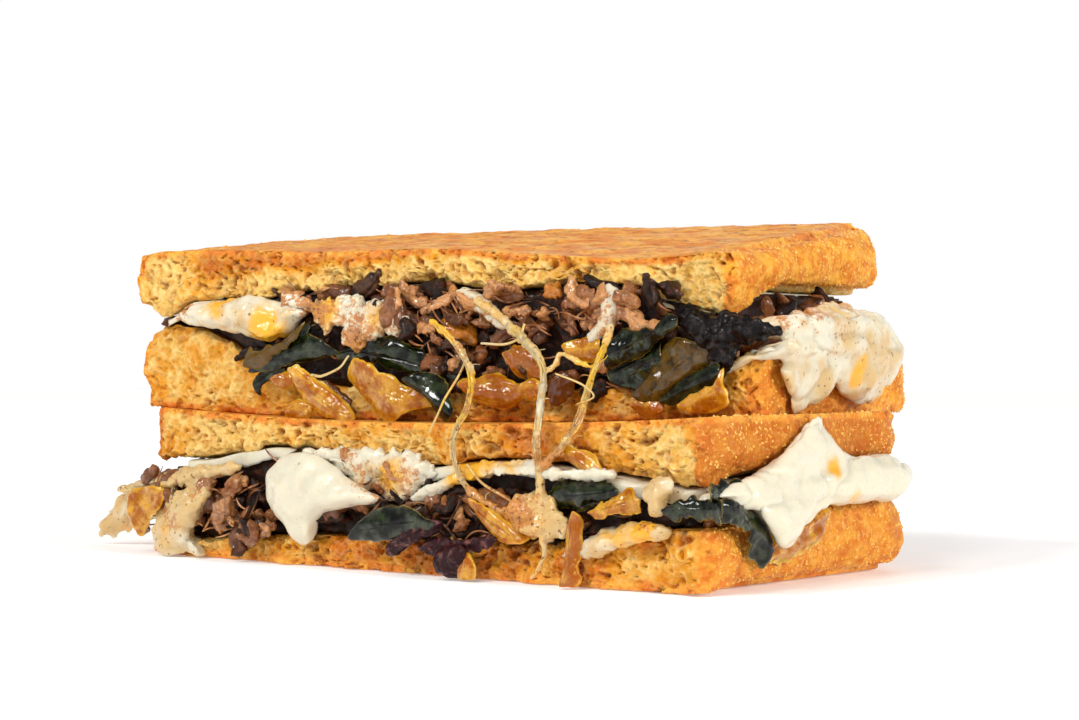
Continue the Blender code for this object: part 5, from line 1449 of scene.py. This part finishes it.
def make_peppers(look):
    """Each piece: name, node, half, then its sheets as (outline, how far out, options)."""
    wet = dict(thick=0.8, crinkle=0.04)
    pieces = [
        ("pepper_upper_left", "upper_half_pepper_left", UPPER, [
            ("pepper_upper_left", 4.6, dict(wet, curl=1.3, fold=0.25, ripple=0.5, seed=1)),
            ("pepper_upper_left_edge", 5.2, dict(wet, curl=0.5, fold=0.5, ripple=0.6, seed=2, frill=0.6,
                                                 paint={"olive": 1.0}))]),
        ("pepper_upper_left_fold", "upper_half_pepper_left_fold", UPPER, [
            ("pepper_upper_left_fold", 3.4, dict(wet, curl=0.8, fold=0.3, seed=3))]),
        ("pepper_upper_middle", "upper_half_pepper_middle", UPPER, [
            ("pepper_upper_middle", 2.4, dict(wet, curl=1.5, ripple=1.2, seed=4, frill=0.8))]),
        ("pepper_upper_strip", "upper_half_pepper_strip", UPPER, [
            ("pepper_upper_strip", 5.6, dict(wet, curl=1.2, fold=0.35, ripple=0.4, seed=5))]),
        ("pepper_upper_leaf", "upper_half_pepper_leaf", UPPER, [
            ("pepper_upper_leaf", 4.8, dict(wet, curl=1.3, fold=0.2, ripple=0.9, seed=6, crinkle=0.12,
                                            frill=0.5, paint={"olive": 0.25}))]),
        ("pepper_upper_wide", "upper_half_pepper_wide", UPPER, [
            ("pepper_dark_sheet", 3.4, dict(wet, curl=1.0, ripple=1.2, seed=7)),
            ("pepper_upper_wide", 5.2, dict(wet, curl=2.2, ripple=0.6, seed=8, thick=1.3,
                                            paint={"olive": 0.85}))]),
        ("pepper_upper_corner", "upper_half_pepper_corner", UPPER, [
            ("pepper_upper_corner", 6.0, dict(wet, curl=1.0, fold=0.2, seed=9))]),
        ("pepper_lower_left", "lower_half_pepper_left", LOWER, [
            ("pepper_lower_left", 5.8, dict(wet, curl=2.2, ripple=0.4, seed=10, thick=1.0,
                                            lean=(0.02, 0.02)))]),
        ("pepper_lower_middle", "lower_half_pepper_middle", LOWER, [
            ("pepper_lower_middle", 2.8, dict(wet, curl=0.9, fold=0.3, ripple=0.9, seed=11, frill=0.6))]),
        ("pepper_lower_right", "lower_half_pepper_right", LOWER, [
            ("pepper_lower_right_front", 3.4, dict(wet, curl=1.0, ripple=1.1, seed=12, frill=0.9,
                                                   crinkle=0.15)),
            ("pepper_lower_right_end", 3.0, dict(wet, end=END_CRUST, curl=1.0, fold=0.3, ripple=1.1, seed=13,
                                                 frill=0.9, crinkle=0.15)),
            ("pepper_small", 2.6, dict(wet, end=END_CRUST, curl=0.8, ripple=0.8, seed=14, frill=0.7))]),
    ]
    for name, node, half, sheets in pieces:
        made = [make_sheet(label, half, OUTLINES[label], out, look, **options)
                for label, out, options in sheets]
        finish_piece(join_pieces(name, made, ("rim", "across", "olive"), look), "roast_pepper", node)


def make_onions(look, charred, purple, voxel):
    """Each piece: name, node, half, finish, then its sheets as (outline, how far out, options)."""
    soft = dict(thick=1.0, ridge=0.03, crinkle=0.12)
    pieces = [
        ("onion_upper_strip", "upper_half_onion_strip", UPPER, look, [
            ("onion_bit_left", 3.6, dict(soft, curl=0.8, seed=20, paint={"caught": 0.2})),
            ("onion_red", 3.8, dict(soft, curl=0.7, seed=21, paint={"caught": 1.0})),
            ("onion_strip_low", 4.6, dict(soft, curl=0.9, seed=22)),
            ("onion_upper_strip", 5.8, dict(soft, curl=1.6, seed=23, spacing=1.3, thick=1.5, way=-0.75))]),
        ("onion_upper_petal", "upper_half_onion_petal", UPPER, look, [
            ("onion_upper_petal", 5.8, dict(soft, curl=1.2, fold=0.18, seed=24, spacing=2.2, thick=1.4,
                                            way=-1.0, lean=(0.0, 0.12)))]),
        ("onion_upper_centre", "upper_half_onion_centre", UPPER, look, [
            ("onion_tan", 3.0, dict(soft, curl=0.8, ripple=1.1, seed=25, frill=0.7, paint={"caught": 0.55})),
            ("onion_upper_centre", 4.4, dict(soft, curl=1.6, ripple=0.8, seed=26, thick=1.6,
                                             paint={"caught": 0.35})),
            ("onion_white_bit", 4.8, dict(soft, curl=0.6, seed=27))]),
        ("onion_upper_right", "upper_half_onion_right", UPPER, look, [
            ("onion_upper_right", 3.6, dict(soft, curl=1.0, ripple=0.8, seed=28, paint={"caught": 0.1})),
            ("onion_dark_red", 4.0, dict(soft, curl=1.2, ripple=0.8, seed=29, paint={"caught": 1.0})),
            ("onion_low_amber", 5.4, dict(soft, curl=1.2, seed=30, paint={"caught": 0.3}))]),
        ("onion_upper_corner", "upper_half_onion_corner", UPPER, look, [
            ("onion_upper_corner", 6.6, dict(soft, curl=1.3, seed=31, thick=1.5, lean=(0.0, 0.1)))]),
        ("onion_lower_petal", "lower_half_onion_petal", LOWER, look, [
            ("onion_lower_petal", 5.0, dict(soft, curl=1.4, seed=32, spacing=1.8, thick=1.3, way=-0.75))]),
        ("onion_lower_purple", "lower_half_onion_purple", LOWER, purple, [
            ("onion_lower_purple", 6.2, dict(soft, curl=1.0, seed=33, spacing=1.0, way=0.5, ridge=0.16)),
            ("purple_under", 4.8, dict(soft, curl=0.8, ripple=0.9, seed=34, frill=0.7))]),
        ("onion_lower_purple_tip", "lower_half_onion_purple_tip", LOWER, purple, [
            ("onion_lower_purple_tip", 6.2, dict(soft, curl=1.8, seed=35, thick=2.2, flat=2.5, ridge=0.0))]),
        ("onion_lower_right_end", "lower_half_onion_right_end", LOWER, look, [
            ("onion_lower_right_end", 1.6, dict(soft, end=END_CRUST, curl=1.6, ripple=0.7, seed=36,
                                                ridge=0.35, spacing=3.0, frill=0.5))]),
        ("onion_lower_left_end", "lower_half_onion_left_end", LOWER, look, [
            ("onion_lower_left_end", 3.6, dict(soft, curl=1.0, seed=37, thick=0.8))]),
        ("onion_lower_top", "lower_half_onion_under_top_bread", LOWER, look, [
            ("onion_lower_top", 2.6, dict(soft, curl=1.0, ripple=0.8, seed=41))]),
        ("onion_lower_gap", "lower_half_onion_gap", LOWER, look, [
            ("onion_lower_gap", 4.0, dict(soft, curl=1.2, ripple=0.9, seed=38, frill=0.6))]),
        ("onion_lower_ribbon", "lower_half_onion_ribbon", LOWER, look, [
            ("onion_lower_ribbon", 4.8, dict(soft, curl=1.0, ripple=1.4, frill=0.7, seed=39,
                                             paint={"caught": 0.4})),
            ("amber_tip", 5.8, dict(soft, curl=0.8, seed=40))]),
    ]
    for name, node, half, finish, sheets in pieces:
        made = [make_sheet(label, half, OUTLINES[label], out, finish, **options)
                for label, out, options in sheets]
        joined = join_pieces(name, made, ("rim", "across", "caught"), finish)
        finish_piece(joined, "soft_onion" if finish is look else "purple_onion", node)
    burnt = make_blob("charred_onion", UPPER, [
        [(68, 2, 52, 2.0), (72, 3, 49.5, 3.2), (76, 3, 46.8, 3.4), (76, 3, 43, 2.5),
         (75, 2.5, 40.8, 1.4)],
        [(77, 3, 49, 3.0), (82, 2.5, 49, 2.4), (87, 1.5, 48.8, 1.5)]], charred, voxel, soften=3, wobble=0.8,
        crinkle=0.3, seed=32)
    mesh = burnt.data
    places, normals = points_of(mesh), normals_of(mesh)
    blister = bubbles(places / MM, 1.9, 33, 0.3, 0.75, 0.85) ** 0.7
    move_points(mesh, places + normals * ((blister * 0.7 - 0.35) * MM)[:, None])
    finish_piece(burnt, "charred_onion", "upper_half_charred_onion")


# Grains on the crust.

def make_grains(slices, look, tree, spacing):
    shape = bmesh.new()
    bmesh.ops.create_icosphere(shape, subdivisions=1, radius=1.0)
    for vert in shape.verts:
        vert.co.x *= 1.3
        vert.co.z *= 0.7
    mesh = bpy.data.meshes.new("grain")
    shape.to_mesh(mesh)
    shape.free()
    grain = bpy.data.objects.new("grain", mesh)
    grown = []
    for number, bread in enumerate(slices):
        copy = new_object("grains", bread.data.copy())
        values = {"Per square metre": 1 / (spacing * MM) ** 2, "Smallest": 0.10 * MM, "Largest": 0.34 * MM,
                  "Seed": 11 + number, "Grain": grain, "Material": look}
        grown.append(run_tree(copy, tree, values))
    finish_piece(join_pieces("crust_grains", grown, (), look), "griddled_bread")


# The stage.

def lamp(name, kind, place, aim, size, power, warmth):
    data = bpy.data.lights.new(name, kind)
    data.energy = power
    data.color = warmth
    if kind == "AREA":
        data.shape = "SQUARE"
        data.size = size
    else:
        data.angle = size
    obj = bpy.data.objects.new(name, data)
    bpy.context.scene.collection.objects.link(obj)
    obj.location = place
    obj.rotation_euler = (Vector(aim) - Vector(place)).to_track_quat("-Z", "Y").to_euler()
    return obj


def make_world(strength):
    """Even studio light, brightest round the horizon so that the floor fades into it."""
    world = bpy.data.worlds.new("studio")
    world.use_nodes = True
    bpy.context.scene.world = world
    tree = world.node_tree
    tree.nodes.clear()
    way = add_node(tree, "ShaderNodeTexCoord", {}, {})
    split = add_node(tree, "ShaderNodeSeparateXYZ", {}, {0: way.outputs["Generated"]})
    fade = add_node(tree, "ShaderNodeMapRange", {"interpolation_type": "SMOOTHSTEP"}, {
        "Value": split.outputs["Z"], "From Min": 0.16, "From Max": 0.36, "To Min": 1.0, "To Max": strength})
    shade = add_node(tree, "ShaderNodeBackground", {}, {
        "Color": (1.0, 1.0, 1.0), "Strength": fade.outputs[0]})
    add_node(tree, "ShaderNodeOutputWorld", {}, {0: shade.outputs[0]})


def make_stage(look, world_strength, key, fill):
    angles = [math.radians(a) for a in range(0, 360, 5)]
    rim = [(math.cos(a) * FLOOR_RADIUS, math.sin(a) * FLOOR_RADIUS, FLOOR_HEIGHT) for a in angles]
    floor = new_object("floor", new_mesh("floor", rim, [list(range(len(rim)))], look))
    make_world(world_strength)
    front = Vector((math.sin(VIEW_TURN), -math.cos(VIEW_TURN), 0))
    left = Vector((-math.cos(VIEW_TURN), -math.sin(VIEW_TURN), 0))
    high = Vector((0, 0, 1))
    aim = (0, 0, 0.035)
    broad = math.radians(14)
    lamp("key", "SUN", front * 0.5 + left * 0.75 + high * 0.8, aim, broad, key, (1, 0.985, 0.96))
    lamp("fill", "SUN", front * 0.8 - left * 0.9 + high * 0.45, aim, broad, fill, (1, 0.99, 0.97))
    lamp("window", "AREA", front * 0.5 + left * 0.2 + high * 0.5, aim, 0.16, 1.2, (1, 1, 1))
    lamp("back", "AREA", -front * 0.8 - left * 0.3 + high * 0.9, aim, 0.7, 2.0, (1, 1, 1))


def make_camera(place, azimuth, focal):
    data = bpy.data.cameras.new("photo_view")
    data.sensor_width = 36
    data.lens = focal
    data.clip_start, data.clip_end = 0.01, 20
    obj = bpy.data.objects.new("photo_view", data)
    obj.location = place
    obj.rotation_euler = (math.pi / 2, 0, azimuth)
    bpy.context.scene.collection.objects.link(obj)
    bpy.context.scene.camera = obj
    bpy.context.scene.view_settings.view_transform = "Standard"
    bpy.context.scene.view_settings.look = "None"


# Settings that a user would change.

def colour_of(name, words, red, green, blue):
    return bpy.props.FloatVectorProperty(name=name, description=words, subtype="COLOR", size=3, min=0, max=1,
                                         default=tone(red, green, blue))


def length_of(name, words, default):
    return bpy.props.FloatProperty(name=name, description=words, default=default, min=0, unit="LENGTH")


def number_of(name, words, default):
    return bpy.props.FloatProperty(name=name, description=words, default=default, min=0)


class BreadSettings(bpy.types.PropertyGroup):
    """Colours and relief of the four slices."""
    crumb_pale: colour_of("Dry crumb", "Pale cream crumb", 234, 184, 92)
    crumb_soaked: colour_of("Soaked crumb", "Crumb that has taken up butter", 224, 150, 34)
    crumb_oily: colour_of("Oily crumb", "The wettest yellow patches", 202, 108, 4)
    # Palest torn crumb, also used as the painted highlight on raised ridges.
    crumb_cream_and_highlight: colour_of("Torn ridges", "Palest torn edges of the crumb", 252, 220, 146)
    # Painted shade in the crumb's bubbles, with butter.
    pore_shade: colour_of("Bubble", "Inside of the crumb's bubbles", 150, 72, 6)
    toast_gold: colour_of("Toast gold", "Lightest colour of the griddled face", 252, 186, 80)
    toast: colour_of("Toast", "Main colour of the griddled face", 226, 130, 48)
    toast_dark: colour_of("Dark toast", "Darkest patches of the griddled face", 134, 60, 24)
    rind: colour_of("Rind", "Main colour of the outer crust", 246, 174, 62)
    rind_dark: colour_of("Dark rind", "Browner patches of the outer crust", 218, 122, 34)
    rind_umber: colour_of("Browner rind", "Crust of the lower half's top slice", 190, 98, 36)
    rind_flour: colour_of("Rind flour", "Pale flour and grains on the outer crust", 252, 198, 108)
    pore_size: number_of("Bubble size", "Scale of the bubbles in the crumb", 0.85)
    relief: number_of("Crumb relief", "Scale of the torn crumb's height, as a share", 0.85)
    grain_spacing: number_of("Grain spacing", "Millimetres between the grains on the crust", 1.33)


class CheeseSettings(bpy.types.PropertyGroup):
    """Colours of the melted cheese, and how finely it is meshed."""
    cheese: colour_of("Cheese", "Main creamy white", 218, 211, 188)
    cheese_deep: colour_of("Thick cheese", "Creamier places", 206, 174, 118)
    cheese_oily: colour_of("Oily cheese", "Yellow places where the fat has run", 232, 172, 44)
    cheese_brown: colour_of("Browned cheese", "Griddled, lacy places", 190, 122, 54)
    speck: colour_of("Specks", "Small dark specks in the cheese", 88, 50, 22)
    voxel: length_of("Fineness", "Size of the voxels that melt the lumps together", 0.00045)


class BeefSettings(bpy.types.PropertyGroup):
    """Colours and size of the beef shreds."""
    # Dark beef is also the painted shade in the heap's gaps, on the deeper shreds and in the fibre grooves.
    beef_dark: colour_of("Dark beef", "Deep wet places", 30, 14, 6)
    beef: colour_of("Beef", "Main brown", 140, 84, 44)
    beef_pale: colour_of("Pale beef", "Dry fibres and fat", 208, 148, 92)
    beef_crisp: colour_of("Crisp beef", "Fried edges", 104, 44, 14)
    beef_amber: colour_of("Amber bits", "Soft onion cooked into the beef", 196, 118, 24)
    shred_size: number_of("Shred size", "Scale of the shreds", 1.0)


class VegetableSettings(bpy.types.PropertyGroup):
    """Colours of the peppers and onions."""
    pepper: colour_of("Pepper", "Dark green skin", 34, 46, 12)
    pepper_dark: colour_of("Charred pepper", "Blackened skin", 7, 8, 5)
    pepper_olive: colour_of("Olive pepper", "Soft, see-through places", 92, 64, 12)
    pepper_edge: colour_of("Pepper edge", "Olive cut edges", 128, 108, 34)
    onion_pale: colour_of("Pale onion", "Thick translucent layers", 206, 150, 26)
    onion_light: colour_of("Light streaks", "Palest streaks of the onion", 238, 206, 112)
    onion_amber: colour_of("Amber onion", "Cooked onion", 158, 84, 2)
    onion_brown: colour_of("Brown onion", "Caught edges", 66, 22, 6)
    charred: colour_of("Charred onion", "Burnt, bubbled skin", 12, 6, 7)
    charred_light: colour_of("Charred highlight", "Lighter places of the burnt onion", 52, 32, 28)
    purple: colour_of("Purple onion", "Dark purple layers", 44, 16, 20)
    purple_light: colour_of("Light purple onion", "Thin purple layers", 150, 82, 70)


class StageSettings(bpy.types.PropertyGroup):
    """The floor, the light and the camera."""
    floor_colour: colour_of("Floor", "Pale floor", 250, 250, 250)
    world_strength: number_of("Upper light", "Strength of the even light from above", 0.34)
    key: number_of("Main light", "Strength of the broad main light", 1.32)
    fill: number_of("Fill light", "Strength of the broad fill light", 1.7)
    camera: bpy.props.FloatVectorProperty(name="Camera", description="Where the camera stands", unit="LENGTH",
                                          default=(0.3282, -0.3807, 0.0431))
    azimuth: bpy.props.FloatProperty(name="Camera turn", description="Turn of the camera", unit="ROTATION",
                                     default=VIEW_TURN)
    focal: number_of("Lens", "Focal length in millimetres on a 36 mm sensor", 78.41)


SETTINGS = {"sandwich_bread": BreadSettings, "sandwich_cheese": CheeseSettings, "sandwich_beef": BeefSettings,
            "sandwich_vegetables": VegetableSettings, "sandwich_stage": StageSettings}


# Operators, one for each group of like pieces.

class SANDWICH_OT_bread(bpy.types.Operator):
    """Makes the four slices of bread and the grains on their crusts"""
    bl_idname = "sandwich.bread"
    bl_label = "Bread"

    def execute(self, context):
        look = context.scene.sandwich_bread
        finish = bread_finish(look)
        made = []
        for bread in SLICES:
            obj = make_slice(bread, finish, look.pore_size, look.relief)
            made.append(finish_piece(obj, "griddled_bread", bread.node))
        make_grains(made, grain_finish(look), grain_tree(), look.grain_spacing)
        return {"FINISHED"}


class SANDWICH_OT_beef(bpy.types.Operator):
    """Makes both heaps of shredded beef"""
    bl_idname = "sandwich.beef"
    bl_label = "Beef"

    def execute(self, context):
        look = context.scene.sandwich_beef
        make_beef(beef_finish(look), look.shred_size)
        return {"FINISHED"}


class SANDWICH_OT_cheese(bpy.types.Operator):
    """Makes the melted layers and all the cheese that has run out of them"""
    bl_idname = "sandwich.cheese"
    bl_label = "Melted cheese"

    def execute(self, context):
        look = context.scene.sandwich_cheese
        finish = cheese_finish(look)
        upper_cheeses(finish, look.voxel / MM)
        lower_cheeses(finish, look.voxel / MM)
        make_web(finish, look.voxel / MM, strand_tree())
        return {"FINISHED"}


class SANDWICH_OT_peppers(bpy.types.Operator):
    """Makes the roasted pepper pieces"""
    bl_idname = "sandwich.peppers"
    bl_label = "Roast peppers"

    def execute(self, context):
        look = context.scene.sandwich_vegetables
        make_peppers(pepper_finish(look))
        return {"FINISHED"}


class SANDWICH_OT_onions(bpy.types.Operator):
    """Makes the soft, charred and purple onion pieces"""
    bl_idname = "sandwich.onions"
    bl_label = "Onions"

    def execute(self, context):
        look = context.scene.sandwich_vegetables
        burnt = dark_onion_finish("charred_onion_skin", look.charred, look.charred_light, 0.5)
        purple = dark_onion_finish("purple_onion_skin", look.purple, look.purple_light, 0.8)
        make_onions(onion_finish(look), burnt, purple, context.scene.sandwich_cheese.voxel / MM)
        return {"FINISHED"}


class SANDWICH_OT_stage(bpy.types.Operator):
    """Makes the pale floor, the soft studio light and the camera"""
    bl_idname = "sandwich.stage"
    bl_label = "Stage"

    def execute(self, context):
        look = context.scene.sandwich_stage
        make_stage(backdrop_finish(look), look.world_strength, look.key, look.fill)
        make_camera(look.camera, look.azimuth, look.focal)
        return {"FINISHED"}


OPERATORS = (SANDWICH_OT_stage, SANDWICH_OT_bread, SANDWICH_OT_cheese, SANDWICH_OT_beef, SANDWICH_OT_peppers,
             SANDWICH_OT_onions)


class SANDWICH_PT_panel(bpy.types.Panel):
    """Lists the sandwich's operators and settings"""
    bl_idname = "SANDWICH_PT_panel"
    bl_label = "Sandwich"
    bl_space_type = "VIEW_3D"
    bl_region_type = "UI"
    bl_category = "Sandwich"

    def draw(self, context):
        for operator in OPERATORS:
            self.layout.operator(operator.bl_idname)
        for label, group in SETTINGS.items():
            box = self.layout.box()
            for key in group.__annotations__:
                box.prop(getattr(context.scene, label), key)


def register():
    for made in (*SETTINGS.values(), *OPERATORS, SANDWICH_PT_panel):
        bpy.utils.register_class(made)
    for label, group in SETTINGS.items():
        setattr(bpy.types.Scene, label, bpy.props.PointerProperty(type=group))


def unregister():
    for label in SETTINGS:
        delattr(bpy.types.Scene, label)
    for made in reversed((*SETTINGS.values(), *OPERATORS, SANDWICH_PT_panel)):
        bpy.utils.unregister_class(made)


def main():
    register()
    bpy.ops.sandwich.stage()
    bpy.ops.sandwich.bread()
    bpy.ops.sandwich.cheese()
    bpy.ops.sandwich.beef()
    bpy.ops.sandwich.peppers()
    bpy.ops.sandwich.onions()


if __name__ == "__main__":
    main()
